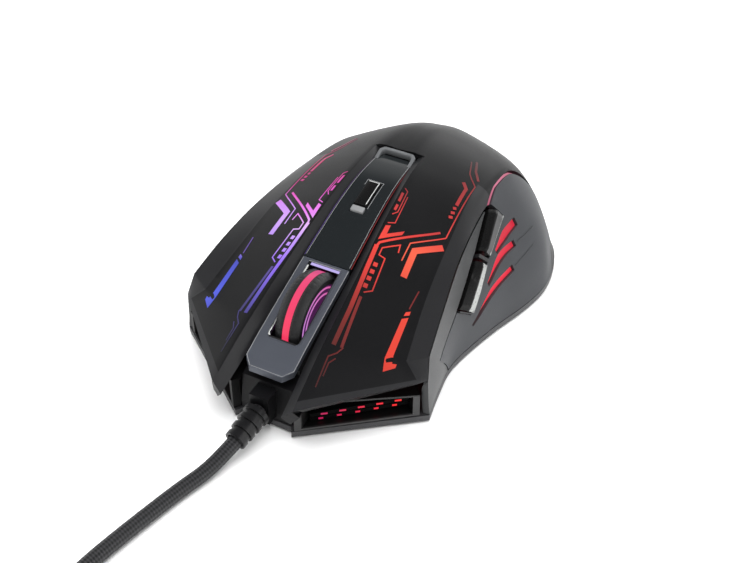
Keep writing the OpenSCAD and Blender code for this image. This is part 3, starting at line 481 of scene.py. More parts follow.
def shell_parts(grid, normals, outer, inner, side):
    """Closed shell between two offsets of a grid of points."""
    rows, columns = len(grid), len(grid[0])
    top, low = [], []
    for i in range(rows):
        for j in range(columns):
            top.append(grid[i][j] + normals[i][j] * outer(i, j))
            under = grid[i][j] + normals[i][j] * inner(i, j)
            under.z = max(under.z, SKIRT)
            low.append(under)
    up = [(k, k + 1, k + columns + 1, k + columns)
          for i in range(rows - 1) for k in range(i * columns, (i + 1) * columns - 1)]
    points, faces = thickened(top, low, up)
    return points, faces if side > 0 else [tuple(reversed(face)) for face in faces]


def on(line, s):
    """Place at s on a line of (v, u) corners, counted in corners."""
    i = min(len(line) - 2, math.floor(s))
    return [mix(a, b, s - i) for a, b in zip(line[i], line[i + 1])]


def patch(top, bottom, per, across):
    """Grid of (v, u) places between two borders given by matching corners."""
    n = (len(top) - 1) * per
    grid = []
    for i in range(n + 1):
        (v0, u0), (v1, u1) = on(top, i / per), on(bottom, i / per)
        grid.append([(mix(v0, v1, j / across), mix(u0, u1, j / across)) for j in range(across + 1)])
    return grid


def placed(grid):
    return [[skin(v, u) for v, u in row] for row in grid]


def outward(grid):
    return [[normal_at(v, u) for v, u in row] for row in grid]


def cover(name, grid, body, material, outer=0.0, inner=-WALL, replaced=None, normals=None):
    """Piece of the skin between two depths, each a number or a function of row and column."""
    high = outer if callable(outer) else (lambda i, j: outer)
    deep = inner if callable(inner) else (lambda i, j: inner)
    points, faces = shell_parts(placed(grid), normals or outward(grid), high, deep, 1)
    obj = piece(name, points, faces, material, body)
    if replaced:
        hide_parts(replaced)
    return obj


# ---- top cover: one palm piece, and two wings that bend at their root ----
WING_END = 4.2  # last station of the wings
# Half width of the middle channel, and how far its edge lies under the skin, by station
CHANNEL_HALF = [(0, 8.6), (1, 7.6), (2, 7.0), (3, 6.35), (4, 5.6), (5, 5.5)]
CHANNEL_DROP = [(0, 2.6), (1, 2.8), (2, 2.5), (3, 1.8), (4, 1.1), (5, 1.0)]
SIDE_TOP = [(1.2, 4.22), (2.35, 3.86), (3.3, 3.45), (4.05, 3.0), (4.4, 2.7), (5.05, 2.6),
            (5.9, 2.95), (6.1, 3.4), (6.3, 4.2), (6.38, 6)]
PALM_BORDER = [(4.2, 2.87), (4.4, 2.7), (5.05, 2.6), (5.5, 2.75), (5.9, 2.95), (6.1, 3.4),
               (6.3, 4.2), (6.38, 6), (6.7, 6), (7, 6)]
PALM_MIDDLE = [(v, 0) for v in (4.2, 4.4, 4.8, 5.15, 5.5, 5.8, 6.1, 6.45, 6.7, 7)]


def mirrored(line):
    return [(v, -u) for v, u in line]


def channel_edge(v, s):
    """Edge of the middle channel, up to 1 mm further forward at its front end."""
    p = skin(v, s)
    forward = max(0, 1 - 2 * v)
    return Vector((s * table(CHANNEL_HALF, v), p.y - forward, p.z - table(CHANNEL_DROP, v)))


def make_palm():
    """Both halves of the palm cover, joined on the middle line."""
    per, across = 7, 22
    right = patch(PALM_MIDDLE, PALM_BORDER, per, across)
    left = patch(PALM_MIDDLE, mirrored(PALM_BORDER), per, across)
    grid = []
    for lrow, rrow in zip(left, right):
        far = [(v, u + GAP) for v, u in reversed(lrow[1:])]
        grid.append(far + [rrow[0]] + [(v, u - GAP) for v, u in rrow[1:]])
    cover("palm_skin", grid, "shell", SOFT_BLACK, replaced="palm_cover")


def make_wing(s, body):
    """Wing of the top cover; its bevels and front lip are painted lighter, as a highlight."""
    rows, lip_rows, channel_columns, ridge_columns = 96, 4, 2, 8
    spots = [k / 8 for k in range(8, 25)]
    grid = []
    for i in range(rows + 1):
        v = WING_END * i / rows
        edge = 3 - GAP / 2 if v < 3.9 else table(SIDE_TOP, v) - GAP
        lip = channel_edge(v, s)
        crest = skin(v, s)
        row = [lip, lip.lerp(crest, 0.5), lip.lerp(crest, 0.94)]
        row += [skin(v, s * min(u + (0.02 if u == 1 else 0), edge)) for u in spots]
        grid.append(row)
    last = len(grid[0]) - 1
    normals = []
    for i in range(rows + 1):
        line = []
        for j in range(last + 1):
            a = grid[i][min(last, j + 1)] - grid[i][max(0, j - 1)]
            b = grid[min(rows, i + 1)][j] - grid[max(0, i - 1)][j]
            line.append(a.cross(b).normalized() * s)
        line[last] = mitre(WING_END * i / rows, s, 0.3, 0)
        normals.append(line)

    def inner(i, j):
        if j >= last - 2:
            return -0.75 * WALL
        return -(WALL + 1.4 * (1 - ease(0, 0.4, WING_END * i / rows)))

    points, faces = shell_parts(grid, normals, lambda i, j: 0, inner, s)
    obj = piece(body + "_skin", points, faces, SOFT_BLACK, None, 24)
    # Painted highlight: the bevel columns and the front lip rows get the lighter black.
    obj.data.materials.append(EDGE_BLACK)
    for k, face in enumerate(obj.data.polygons):
        column = k % last
        highlight_column = column < channel_columns or column >= last - ridge_columns
        if k < rows * last and (highlight_column or k < lip_rows * last):
            face.material_index = 1
    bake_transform(obj)
    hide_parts(body)
    post = box_parts(s * 15.9 - 1.6, s * 15.9 + 1.6, -34.6, -31.4, 15.5, 22.1)
    piece(body + "_post", *post, EDGE_BLACK, body)


# ---- lit line patterns, drawn in (v, u) and mirrored to both wings ----
# BRIGHT and DIM hold strokes of (width, places), SHAPES the corners of flat plates
BRIGHT = [
    (1.15, [(1.12, 1.11), (1.6, 1.10), (2.1, 1.065), (2.47, 1.05)]),
    (0.62, [(2.44, 1.05), (2.52, 1.07), (3.17, 1.82)]),
    (0.34, [(2.44, 1.47), (2.75, 1.48), (3.15, 1.93)]),
    (1.75, [(2.22, 1.59), (2.68, 1.585), (2.99, 1.95)]),
    (0.34, [(2.52, 1.38), (2.64, 1.36), (2.47, 1.14), (2.36, 1.14), (2.35, 1.24), (1.87, 1.27),
            (1.82, 1.17)]),
    (0.26, [(2.83, 1.05), (2.89, 1.15), (3.36, 1.14)]),
    (0.26, [(2.98, 1.05), (3.06, 1.11), (3.44, 1.10), (3.47, 1.04)]),
    (0.7, [(3.06, 1.055), (3.16, 1.055)]),
    (0.7, [(3.22, 1.05), (3.38, 1.045)]),
    (0.95, [(3.67, 1.86), (4.0, 1.86), (4.09, 1.76)]),
    (0.34, [(3.15, 1.93), (4.12, 1.98), (4.22, 1.84), (4.3, 1.76), (4.55, 1.66)]),
    (0.7, [(4.25, 1.97), (4.4, 1.82), (4.6, 1.73)]),
    (0.8, [(3.455, 1.83), (3.475, 1.89)]),
    (0.8, [(3.53, 1.83), (3.55, 1.89)]),
    (0.8, [(3.605, 1.83), (3.625, 1.88)]),
]
for start in (1.88, 1.985, 2.085, 2.19):
    BRIGHT.append((1.15, [(start, 1.155), (start + 0.055, 1.15)]))
SHAPES = [
    [(2.55, 1.03), (2.78, 1.04), (2.82, 1.11), (2.68, 1.11), (2.86, 1.33), (2.79, 1.32)],
    [(0.61, 1.72), (1.62, 1.78), (1.66, 1.86), (0.86, 1.825), (0.84, 1.875), (0.71, 1.85)],
    [(1.67, 1.79), (1.73, 1.80), (1.76, 1.86), (1.70, 1.86)],
]
DIM = [
    (0.8, [(1.76, 1.16), (1.09, 1.215)]),
    (0.34, [(1.09, 1.235), (1.01, 1.19), (0.95, 1.11), (0.4, 1.11)]),
    (0.3, [(0.92, 1.2), (0.84, 1.145), (0.6, 1.14)]),
    (0.34, [(1.79, 1.83), (2.11, 1.87)]),
]
RAISE = 0.06
SUNK = -0.15


def on_skin(places, s, gap=0.06):
    """Points and normals along straight runs of (v, u), close enough to follow the skin."""
    spots = []
    for (v0, u0), (v1, u1) in zip(places, places[1:]):
        n = max(1, round(math.hypot(v1 - v0, u1 - u0) / gap))
        spots += [(mix(v0, v1, k / n), s * mix(u0, u1, k / n)) for k in range(n)]
    spots.append((places[-1][0], s * places[-1][1]))
    return [skin(v, u) for v, u in spots], [normal_at(v, u) for v, u in spots]


def stroke(width, places, s):
    points, ups = on_skin(places, s)
    return rail_parts(points, ups, width, SUNK, RAISE)


def plate(places, s):
    """Flat lit shape on the skin with the given corners."""
    outline, ups = on_skin(places + places[:1], s, 0.2)
    outline, ups = outline[:-1], ups[:-1]
    sheets = [[p + up * level for p, up in zip(outline, ups)] for level in (RAISE, SUNK)]
    return thickened(*sheets, [tuple(face) for face in tessellate_polygon([outline])])


def make_lines(s, label, near, far, dim):
    """The lines beside the channel, the ones out by the ridge, and the faint ones."""
    groups = {"near": [], "far": [], "faint": [stroke(w, places, s) for w, places in DIM]}
    for width, places in BRIGHT:
        groups["near" if places[0][1] < 1.4 else "far"].append(stroke(width, places, s))
    for shape in SHAPES:
        groups["near" if shape[0][1] < 1.4 else "far"].append(plate(shape, s))
    for (group, parts), look in zip(groups.items(), (near, far, dim)):
        lit = piece("%s_%s_lines" % (label, group), *joined(parts), look, None)
        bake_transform(lit)


# ---- sides ----
RAIL_TOP = [(0, 3.15), (0.7, 3.1), (1.15, 3.06), (2.33, 3.06), (3.3, 3.05), (3.9, 3.045)]
RAIL_LOW = [(0, 6), (1.72, 6), (1.17, 4.2), (2.33, 3.83), (3.3, 3.42), (3.9, 3.07)]
GRIP_TOP = [(1.21, 4.26), (2.34, 3.9), (2.66, 4.58), (3.45, 3.92), (4.28, 3.5), (4.13, 3.08),
            (4.46, 2.85), (5.03, 2.75), (5.84, 3.03), (6.07, 3.45), (6.265, 4.2)]
GRIP_LOW = [(v, 6) for v in (1.77, 2.35, 2.7, 3.45, 4.35, 5.3, 5.42, 5.65, 6, 6.18, 6.31)]
OUTER_TOP = [(1.21, 4.26), (2.34, 3.89), (2.8, 3.7), (3.3, 3.49), (3.7, 3.27), (4.07, 3.04),
             (4.42, 2.74), (5.05, 2.64), (5.88, 2.99), (6.08, 3.44), (6.27, 4.2)]
OUTER_LOW = [(v, 6) for v in (1.77, 2.35, 2.8, 3.4, 4, 4.5, 4.85, 5.35, 5.85, 6.13, 6.31)]
CLAWS = [vectors(line) for line in (
    [(4.5, 3.72, 0), (4.08, 3.81, 0), (3.74, 3.93, 0)], [(4.24, 4.1, 0), (3.75, 4.12, 0), (3.3, 4.36, 0)],
    [(3.95, 4.56, 0), (3.3, 4.62, 0), (2.62, 5.0, 0)])]
CLAW_HALF = [(0, 0.08), (1, 0.11), (2, 0.06)]


def make_rail(s, node):
    """Grey rail under the ridge, thinner along its upper edge."""
    top = [(v, s * u) for v, u in RAIL_TOP]
    low = [(v, s * u) for v, u in RAIL_LOW]
    grid = patch(top, low, 10, 12)
    normals = outward(grid)
    for row, line in zip(grid, normals):
        line[0] = mitre(row[0][0], s, 0, 0.35)

    def inner(i, j):
        return -WALL * min(1, 0.4 + 1.1 * abs(grid[i][j][1] - grid[i][0][1]))

    cover(node + "_skin", grid, "shell", GRAPHITE, inner=inner, replaced=node, normals=normals)


def claw_grid(k, grow):
    """Places across a claw slot from its front tip to its rear, its half width changed by grow / 10."""
    grid = []
    for i in range(24, -1, -1):
        middle = along(CLAWS[k], i / 12)
        half = table(CLAW_HALF, i / 12) + grow / 10
        grid.append([(middle.x, middle.y + half * side) for side in (-1, 0, 1)])
    return grid


def closed_run(corners, gap):
    """Closed loop of 2-D places no further apart than gap."""
    run = []
    for (v0, u0), (v1, u1) in zip(corners, corners[1:] + corners[:1]):
        n = max(1, math.ceil(math.hypot(v1 - v0, u1 - u0) / gap))
        run += [Vector((mix(v0, v1, k / n), mix(u0, u1, k / n))) for k in range(n)]
    return run


def inside(loop, p):
    """Whether the loop goes around the place p."""
    hit = False
    for a, b in zip(loop, loop[1:] + loop[:1]):
        if (a.y > p.y) != (b.y > p.y) and p.x < mix(a.x, b.x, (p.y - a.y) / (b.y - a.y)):
            hit = not hit
    return hit


def panel_parts(outline, openings, inner, gap=0.09):
    """Closed panel of the skin inside an outline in (v, u), open where the openings are."""
    border = closed_run(outline, gap)
    holes = [closed_run(hole, gap / 2) for hole in openings]
    spots, edges = [], []
    for loop in [border] + holes:
        base = len(spots)
        spots += loop
        edges += [(base + k, base + (k + 1) % len(loop)) for k in range(len(loop))]
    fixed = list(spots)
    stations, first_line, lines, clear = 7, 2.5, 4, 0.45
    for i in range(round(stations / gap)):
        for j in range(round(lines / gap)):
            p = Vector(((i + 0.5 * (j % 2)) * gap, first_line + j * gap))
            if inside(border, p) and not any(inside(hole, p) for hole in holes):
                if min((q - p).length for q in fixed) > clear * gap:
                    spots.append(p)
    flat, _, triangles, _, _, _ = delaunay_2d_cdt(spots, edges, [], 0, 1e-6)
    kept = []
    for face in triangles:
        middle = sum((flat[k] for k in face), Vector((0, 0))) / len(face)
        if inside(border, middle) and not any(inside(hole, middle) for hole in holes):
            kept.append(tuple(face))
    tops = [skin(p.x, p.y) for p in flat]
    under = [top + normal_at(p.x, p.y) * inner for p, top in zip(flat, tops)]
    for p in under:
        p.z = max(p.z, SKIRT)
    every, faces = thickened(tops, under, kept)
    wanted = sorted({k for face in faces for k in face})
    place = {k: i for i, k in enumerate(wanted)}
    return [every[k] for k in wanted], [tuple(place[k] for k in face) for face in faces]


def make_grips():
    """Thumb grip with its three lit claw slots, and the plain outer grip."""
    slots = []
    for k in range(3):
        rows = claw_grid(k, 0)
        slots.append([row[0] for row in rows] + [row[2] for row in reversed(rows)])
    outline = GRIP_TOP + list(reversed(GRIP_LOW))
    grip = piece("thumb_grip_skin", *panel_parts(outline, slots, -WALL), SLATE, "shell", 30)
    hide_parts("thumb_grip")
    cover("outer_grip_skin", patch(mirrored(OUTER_TOP), mirrored(OUTER_LOW), 7, 20), "shell", SLATE,
          replaced="outer_grip")
    guide = patch([(2.9, 4.4), (3.6, 4.0), (4.6, 3.5)], [(2.9, 5.2), (3.6, 4.9), (4.6, 4.5)], 8, 6)
    cover("grip_light", guide, "shell", RED_GUIDE, outer=-WALL - 0.3, inner=-WALL - 1.5,
          replaced="thumb_light_guide")
    seam = patch([(4.12, 3.03), (4.43, 2.745), (5.05, 2.645), (5.8, 2.945)],
                 [(4.15, 3.12), (4.48, 2.89), (5.02, 2.79), (5.78, 3.03)], 10, 3)
    cover("grip_seam_light", seam, "shell", SEAM_PINK, outer=-0.8, inner=-1.5)
    # Painted shade: thin dark lines stand for the shade in two creases of the grip.
    crease_shades = [[(4.3, 4.1), (4.55, 4.07), (4.9, 3.98)], [(4.0, 4.55), (4.3, 4.51), (4.7, 4.4)]]
    piece("grip_crease_shade", *joined([stroke(0.14, places, 1) for places in crease_shades]), EDGE_BLACK, "shell")
    for k in range(3):
        cover("claw_light%d" % (k + 1), claw_grid(k, -0.1), "shell", RED_GUIDE, outer=-1.0,
              inner=-WALL - 0.9)


BUTTON_TOP = [[(2.42, 3.91), (2.85, 3.72), (3.23, 3.56)], [(3.38, 3.48), (3.7, 3.29), (4.01, 3.1)]]
BUTTON_LOW = [[(2.68, 4.46), (3.04, 4.17), (3.38, 3.87)], [(3.53, 3.79), (3.88, 3.61), (4.2, 3.46)]]
BULGE = [(0, 0.5), (0.8, 1.7), (1, 1.75)]  # how far a key stands out, from its top edge down
SPLIT = 0.48  # where the key facet ends and the trim facet starts


def between(k, t):
    """Line along side button k, at the share t of the way from its top to its lower edge."""
    return [tuple(mix(a, b, t) for a, b in zip(p, q)) for p, q in zip(BUTTON_TOP[k], BUTTON_LOW[k])]


def make_side_button(k, body, trim_look):
    """Key facet, trim facet and bright edge line, with the ends rounded off."""
    rows, across = 24, 12
    key = patch(BUTTON_TOP[k], between(k, SPLIT), rows // 2, across)
    trim = patch(between(k, SPLIT + 0.02), BUTTON_LOW[k], rows // 2, 6)

    def eased(i):
        """Drop in millimetres over the last rows at either end."""
        return 0.3 * (1 - ease(0, 2.5, min(i, rows - i)))

    cover(body + "_key", key, body, PIANO, replaced=body, inner=-2.6,
          outer=lambda i, j: table(BULGE, j / across) - eased(i))
    cover(body + "_trim", trim, body, trim_look, replaced=body.split("_")[0] + "_trim", inner=-1.4,
          outer=lambda i, j: 1.7 - 0.6 * j / 6 - eased(i))
    points, ups = on_skin(BUTTON_LOW[k], 1)
    points = [p + up * 0.9 for p, up in zip(points, ups)]
    piece(body + "_edge_line", *rail_parts(points, ups, 0.35, -0.3, 0.12), CHROME, body)


# ---- centre strip, wheel slot and mode button ----
STRIP_LINE = [(-52.4, 17.5), (-43, 21), (-32, 24.9), (-21, 28.6), (-10, 32.3), (-1, 35.1),
              (8, 36.9), (16, 37.2), (23.4, 36.6)]
SLOT = (-43.2, -20.6)
DPI = (-1.3, 7.3)
STRIP_HALF = [(-19.8, 6.7), (0, 6.1), (20.2, 5.3)]


def strip_z(y):
    """Height of the strip's top line."""
    last = len(STRIP_LINE) - 1
    j = max(0, min(last - 1, sum(1 for q in STRIP_LINE if q[0] <= y) - 1))
    (y1, z1), (y2, z2) = STRIP_LINE[j], STRIP_LINE[j + 1]
    z0, z3 = STRIP_LINE[max(0, j - 1)][1], STRIP_LINE[min(last, j + 2)][1]
    return curve(z0, z1, z2, z3, (y - y1) / (y2 - y1))


def slab_parts(half_at, y0, y1, top, bottom, rows=24, lane=0.0, holes=()):
    """Slab along the strip's top line, with rectangular holes in its middle lane."""
    cuts = sorted({y for hole in holes for y in hole})
    ys = sorted(set([mix(y0, y1, i / rows) for i in range(rows + 1)] + cuts))
    lanes = 3 if holes else 1
    sheets = []
    for level in (top, bottom):
        sheets.append([])
        for y in ys:
            w = half_at(y)
            xs = (-w, -lane, lane, w) if holes else (-w, w)
            sheets[-1] += [Vector((x, y, strip_z(y) + level)) for x in xs]
    kept = []
    for i, (ya, yb) in enumerate(zip(ys, ys[1:])):
        for j in range(lanes):
            if j != 1 or not any(a < (ya + yb) / 2 < b for a, b in holes):
                k = i * (lanes + 1) + j
                kept.append((k, k + 1, k + lanes + 2, k + lanes + 1))
    return thickened(*sheets, kept)


def strip_half(y):
    return table(STRIP_HALF, y)


def strip_edge(name, places, material, width, lift, body="shell"):
    """Fine raised line on the strip through the (x, y) places."""
    spots = []
    for (xa, ya), (xb, yb) in zip(places, places[1:]):
        n = max(1, round(math.hypot(xb - xa, yb - ya) / 1.5))
        spots += [(mix(xa, xb, k / n), mix(ya, yb, k / n)) for k in range(n)]
    spots.append(places[-1])
    points = [Vector((x, y, strip_z(y))) for x, y in spots]
    ups = [Vector((0, strip_z(y - 0.5) - strip_z(y + 0.5), 1)).normalized() for x, y in spots]
    piece(name, *rail_parts(points, ups, width, -0.3, lift), material, body)


def make_mode_button():
    """Mode button with its bright corner line, its surround and the fixed cap in front of it."""
    back, front = DPI[1], DPI[0]
    key = piece("dpi_key", *slab_parts(lambda y: 1.9, front, back, 0.6, -3.4, 16), PIANO, "dpi_button")
    bevelled(key, 0.3)
    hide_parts("dpi_button")
    corner = [(1.55, front + 0.4), (1.55, back - 0.4), (-1.5, back - 0.4)]
    strip_edge("dpi_line", corner, PEARL, 0.2, 0.66, "dpi_button")
    surround = [(2.35, front - 0.4), (2.35, back + 0.5), (-2.35, back + 0.5), (-2.35, back - 1.6)]
    strip_edge("dpi_surround", surround, SILVER, 0.16, 0.06)
    cap = piece("dpi_front_cap", *slab_parts(lambda y: 1.9, -3.6, -1.9, 0.5, -1.8, 6), SILVER, "shell")
    bevelled(cap, 0.25)
    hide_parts("dpi_cap")


def make_strip_end():
    """Open frame at the strip's rear end, and the dark bed behind it."""
    corners = [(4.95, 17.2, 37.3), (4.95, 20.3, 38.3), (4.1, 21.3, 38.5)]
    path = vectors([(-x, y, z) for x, y, z in corners] + corners[::-1])
    ups = [Vector((0, 0, 1))] * len(path)
    end = piece("strip_end_skin", *rail_parts(path, ups, 1.1, -1.9, 0), FRAME_GREY, "shell")
    bevelled(end, 0.3)
    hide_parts("strip_end_cap")
    bed = piece("strip_end_bed", *box_parts(-7.2, 7.2, 21.7, 22.05, 35.5, 38.2), SOFT_BLACK, "shell")
    bevelled(bed, 0.1)


def make_centre():
    """Strip over the middle, and the fine lines on it and around the wheel slot."""
    holes = ((DPI[0] - 0.15, DPI[1] + 0.15), (-3.8, -1.75))
    strip = piece("centre_strip_skin", *slab_parts(strip_half, -19.8, 20.2, 0, -1.8, 40, 2.05, holes),
                  GLOSS, "shell")
    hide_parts("centre_strip")
    make_mode_button()
    make_strip_end()
    for s, label, lit in ((-1, "left", DIM_BLUE), (1, "right", DIM_RED)):
        side = [(s * (strip_half(y) - 0.3), y) for y in (-19.3, -10, 0, 10, 17.2)]
        strip_edge("strip_line_" + label, side, SILVER, 0.13, 0.05)
        seam = [(s * (strip_half(y) + 0.12), y) for y in (-19.3, -10, 0, 10, 20.2)]
        strip_edge("strip_glow_" + label, seam, lit, 0.2, -0.25)
    front, rear = SLOT
    # Painted highlight: a bright silver line along the surround's top edge, front and sides.
    rim = [(-6.6, -20.2), (-6.75, -49.0), (-4.6, -51.3), (4.6, -51.3), (6.75, -49.0), (6.6, -20.2)]
    slot = [(-4.75, rear), (-4.75, front + 0.95), (-3.85, front - 0.1), (3.85, front - 0.1),
            (4.75, front + 0.95), (4.75, rear)]
    trim_front = [(-4.5, -35.5), (-4.5, front + 1.2), (-4.0, front + 0.6)]
    trim_left = [(-4.45, -26.0), (-4.45, rear - 1.2)]
    trim_rear = [(-3.9, rear - 0.6), (4.4, rear - 0.6)]
    rear_rim = [(-4.7, rear - 0.1), (4.7, rear - 0.1)]
    for name, places, look, width, lift in (
            ("surround_rim_highlight", rim, SILVER, 0.16, 0.04),
            ("slot_rim", slot, STEEL_BLUE, 0.22, 0.06),
            ("slot_trim_front", trim_front, PEARL, 0.4, -0.3),
            ("slot_trim_left", trim_left, PEARL, 0.5, -0.25),
            ("slot_trim_rear", trim_rear, VIOLET_TRIM, 0.75, -0.25),
            ("slot_rear_rim", rear_rim, SILVER, 0.16, 0.06)):
        strip_edge(name, places, look, width, lift)


WHEEL = Vector((0, -29.8, 18.5))
WHEEL_R = 12.3
WHEEL_HALF = 3.5
RING_HALF = 0.9


def make_wheel():
    """Rubber tyre with cross grooves either side of the lit ring, and thin lit rings on the hub."""
    parts = []
    for s in (-1, 1):
        profile = [(WHEEL_R - 2.6, s * (RING_HALF + 0.05)), (WHEEL_R - 0.25, s * (RING_HALF + 0.05)),
                   (WHEEL_R, s * 1.5), (WHEEL_R - 0.12, s * 2.1), (WHEEL_R - 0.45, s * 2.75),
                   (WHEEL_R - 1.2, s * WHEEL_HALF), (WHEEL_R - 2.6, s * WHEEL_HALF)]
        parts.append(revolve(profile, WHEEL, 240,
                             lambda i, j, r: r - (0.1 if 1 < j < 5 and i % 6 < 1 else 0)))
    tyre = piece("wheel_tyre_tread", *joined(parts), RUBBER, "wheel", 25)
    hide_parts("wheel_tyre")
    rings = [revolve([(r, s * 3.0), (r + 0.45, s * 3.0), (r + 0.45, s * 3.3), (r, s * 3.3)], WHEEL, 96)
             for s in (-1, 1) for r in (7.0, 8.6)]
    piece("hub_rings", *joined(rings), HUB_RING, "wheel")


# ---- front intakes ----
INTAKE_A = Vector((8.9, -53.8, 0))
INTAKE_B = Vector((34.2, -34.4, 0))
INTAKE_X = (INTAKE_B - INTAKE_A).normalized()
INTAKE_Y = Vector((-INTAKE_X.y, INTAKE_X.x, 0))


def in_intake(s, x, y, z):
    """Point from places along the mouth, into it and up."""
    p = INTAKE_A + INTAKE_X * x + INTAKE_Y * y
    return Vector((s * p.x, p.y, z))


def make_intake(s, label):
    """Two black slats behind the mouth, each with five lit windows on its front edge."""
    rising = 0.07  # slope of the slats from the middle outwards
    slats, windows = [], []
    for row in range(2):
        level = 6.1 - 1.75 * row
        deep = 1.7 + 0.3 * row
        corners = ((4.2, deep), (29.4, deep), (28.6, 5.6), (7.5, 5.6))
        sheets = [[in_intake(s, x, y, level + rising * (x - 8) + rise) for x, y in corners]
                  for rise in (0.6, -0.6)]
        slats.append(thickened(*sheets, [(0, 1, 2, 3)]))
        for i in range(5):
            x = 7.0 + 4.7 * i - 0.6 * row
            z = level + rising * (x - 8)
            points, faces = box_parts(x, x + 1.7 - 0.5 * row, deep - 0.12, deep + 0.6, z - 0.24, z + 0.24)
            windows.append(([in_intake(s, *p) for p in points], faces))
    piece(label + "_intake_slats", *joined(slats), VOID, "shell")
    piece(label + "_intake_lights", *joined(windows), DOTS, "shell")


# ---- cable ----
CABLE_D = 4.0
CABLE_EXIT = Vector((0, -55.4, 7.6))
CABLE_ROUTE = [CABLE_EXIT] + vectors([
    (-0.1, -58, 7.4), (-0.4, -61, 6.6), (-0.9, -64.5, 5.4), (-1.8, -68, 4.2), (-2.9, -72, 3),
    (-4.1, -76, 2.3), (-6.3, -83, 2.1), (-8.6, -92, 2.1), (-10.7, -101, 2.1), (-12.5, -110, 2.1),
    (-13.7, -120, 2.1), (-14.3, -130, 2.1), (-14.5, -140, 2.1), (-14.5, -148, 2.1)])
TAIL_ROUTE = vectors([
    (21.24, -173.96, 14.1), (26, -172.4, 14.1), (30.7, -170.8, 14), (35, -169, 13.6),
    (38.7, -166.5, 12.5), (41.9, -163.4, 11), (44.5, -159.8, 9.2), (46.5, -155.7, 7.3),
    (47.8, -151.2, 5.6), (48.3, -146.1, 4.5), (48.4, -140, 4.1)])
COIL_AT = Vector((12.8, -148, 2.1))
COIL_R = 23.3
PLUG_AT = Vector((48.4, -140, 4.1))
# Columns and rows that the turns fill in order, out and in through four layers
LAYERS = [(column if row % 2 else -column, row) for row in range(4) for column in (-1, 0, 1)]
TURNS = 11.3
# Angles in degrees where a turn starts its step to the next lane, and the step's length
STEP_FROM = 240
STEP_OVER = 50
SWING = 0.57  # share of a lane by which a turn bulges where it climbs to the next row


def coil_point(travel):
    """Place on the coil after this many degrees; all steps to a next lane share one sector."""
    k = max(0, math.floor((travel - STEP_FROM) / 360) + 1)
    t = (travel - STEP_FROM - 360 * (k - 1)) / STEP_OVER if k else 1
    now = LAYERS[k]
    was = LAYERS[max(0, k - 1)]
    s = ease(0, 1, t)
    column, row = mix(was[0], now[0], s), mix(was[1], now[1], s)
    if was[1] != now[1] and t < 1:
        column += now[0] * SWING * math.sin(math.pi * t)
    r = COIL_R + column * CABLE_D
    a = math.radians(180 + travel)
    return COIL_AT + Vector((r * math.cos(a), r * math.sin(a), row * CABLE_D))


def smooth_run(points, per):
    """Smooth line through the points, with per steps from each to the next."""
    return [along(points, i / per) for i in range(per * (len(points) - 1) + 1)]


def cable_path():
    coil = [coil_point(5 * i) for i in range(1, round(TURNS * 72))]
    return smooth_run(CABLE_ROUTE, 5) + coil + smooth_run(TAIL_ROUTE, 4)


def make_cable():
    """Tube along the path with places for the braid; it also makes the plug."""
    path = cable_path()
    sides = 16
    points, faces, places = [], [], []
    run = [0.0]
    for p, q in zip(path, path[1:]):
        run.append(run[-1] + (q - p).length)
    for i, p in enumerate(path):
        ahead = (path[min(len(path) - 1, i + 1)] - path[max(0, i - 1)]).normalized()
        a = ahead.cross(Vector((0, 0, 1))).normalized()
        b = a.cross(ahead)
        for k in range(sides):
            turn = 2 * math.pi * k / sides
            points.append(p + (a * math.cos(turn) + b * math.sin(turn)) * CABLE_D / 2)
    for i in range(len(path) - 1):
        for k in range(sides):
            m = (k + 1) % sides
            faces.append((i * sides + k, i * sides + sides + k, i * sides + sides + m, i * sides + m))
            places.append([(k / sides, run[i]), (k / sides, run[i + 1]), ((k + 1) / sides, run[i + 1]),
                           ((k + 1) / sides, run[i])])
    top = (len(path) - 1) * sides
    faces += [tuple(range(sides)), tuple(top + k for k in reversed(range(sides)))]
    mesh = bpy.data.meshes.new("usb_cable")
    mesh.from_pydata([tuple(p * MM) for p in points], [], faces)
    unwrapped = mesh.uv_layers.new(name="along").data
    for face, corners in zip(mesh.polygons, places):
        for loop, (u, length) in zip(face.loop_indices, corners):
            unwrapped[loop].uv = (u, length / CABLE_D)
        face.use_smooth = True
    mesh.update()
    cable = linked("usb_cable", mesh)
    dress(cable, BRAID)
    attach(cable, "shell")
    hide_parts("cable", "cable_coil", "cable_tail")
    length = run[-1] * MM
    body = make_plug()


def make_plug():
    x, y, z = PLUG_AT
    block = box_parts(x - 7.6, x + 7.6, y + 7, y + 29, z - 3.9, z + 3.9)
    body = piece("plug_body", *block, EDGE_BLACK, "shell")
    bevelled(body, 1.4, 4)
    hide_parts("usb_plug_body")
    profile = [(2.15, -0.5), (2.6, 0.0), (2.6, 1.2), (2.25, 1.4), (2.25, 2.0), (2.8, 2.2), (2.8, 3.4),
               (2.4, 3.6), (2.4, 4.2), (3.0, 4.4), (3.0, 5.6), (2.6, 5.8), (2.6, 6.4), (3.2, 6.6),
               (3.2, 7.3), (2.15, 7.3)]
    points, faces = revolve(profile, Vector((0, 0, 0)), 48)
    neck = piece("plug_neck", [PLUG_AT + Vector((p.y, p.x, p.z)) for p in points], faces, RUBBER, "shell")
    return [body, neck, "usb_plug_shell", make_tie()]


def make_tie():
    """Strap around the bundle of turns, with its fold on the outside."""
    x, y = COIL_AT.x, COIL_AT.y - COIL_R
    half, top, thick = 6.5, 16.7, 1.1
    outer = [(half + thick, 0.0), (half + thick, top), (half, top + thick), (-half, top + thick),
             (-half - thick, top), (-half - thick, 0.0)]
    inner = [(half, 0.08), (half, top), (half, top), (-half, top), (-half, top), (-half, 0.08)]
    sheets = [[Vector((x + dx, y + a, z)) for a, z in outer + inner] for dx in (-2.9, 2.9)]
    n = len(outer)
    face = [(k, k + n, (k + 1) % n + n, (k + 1) % n) for k in range(n)]
    tie = piece("cable_strap", *thickened(*sheets, face), RUBBER, "shell")
    merge_points(tie)
    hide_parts("cable_tie")
    return tie


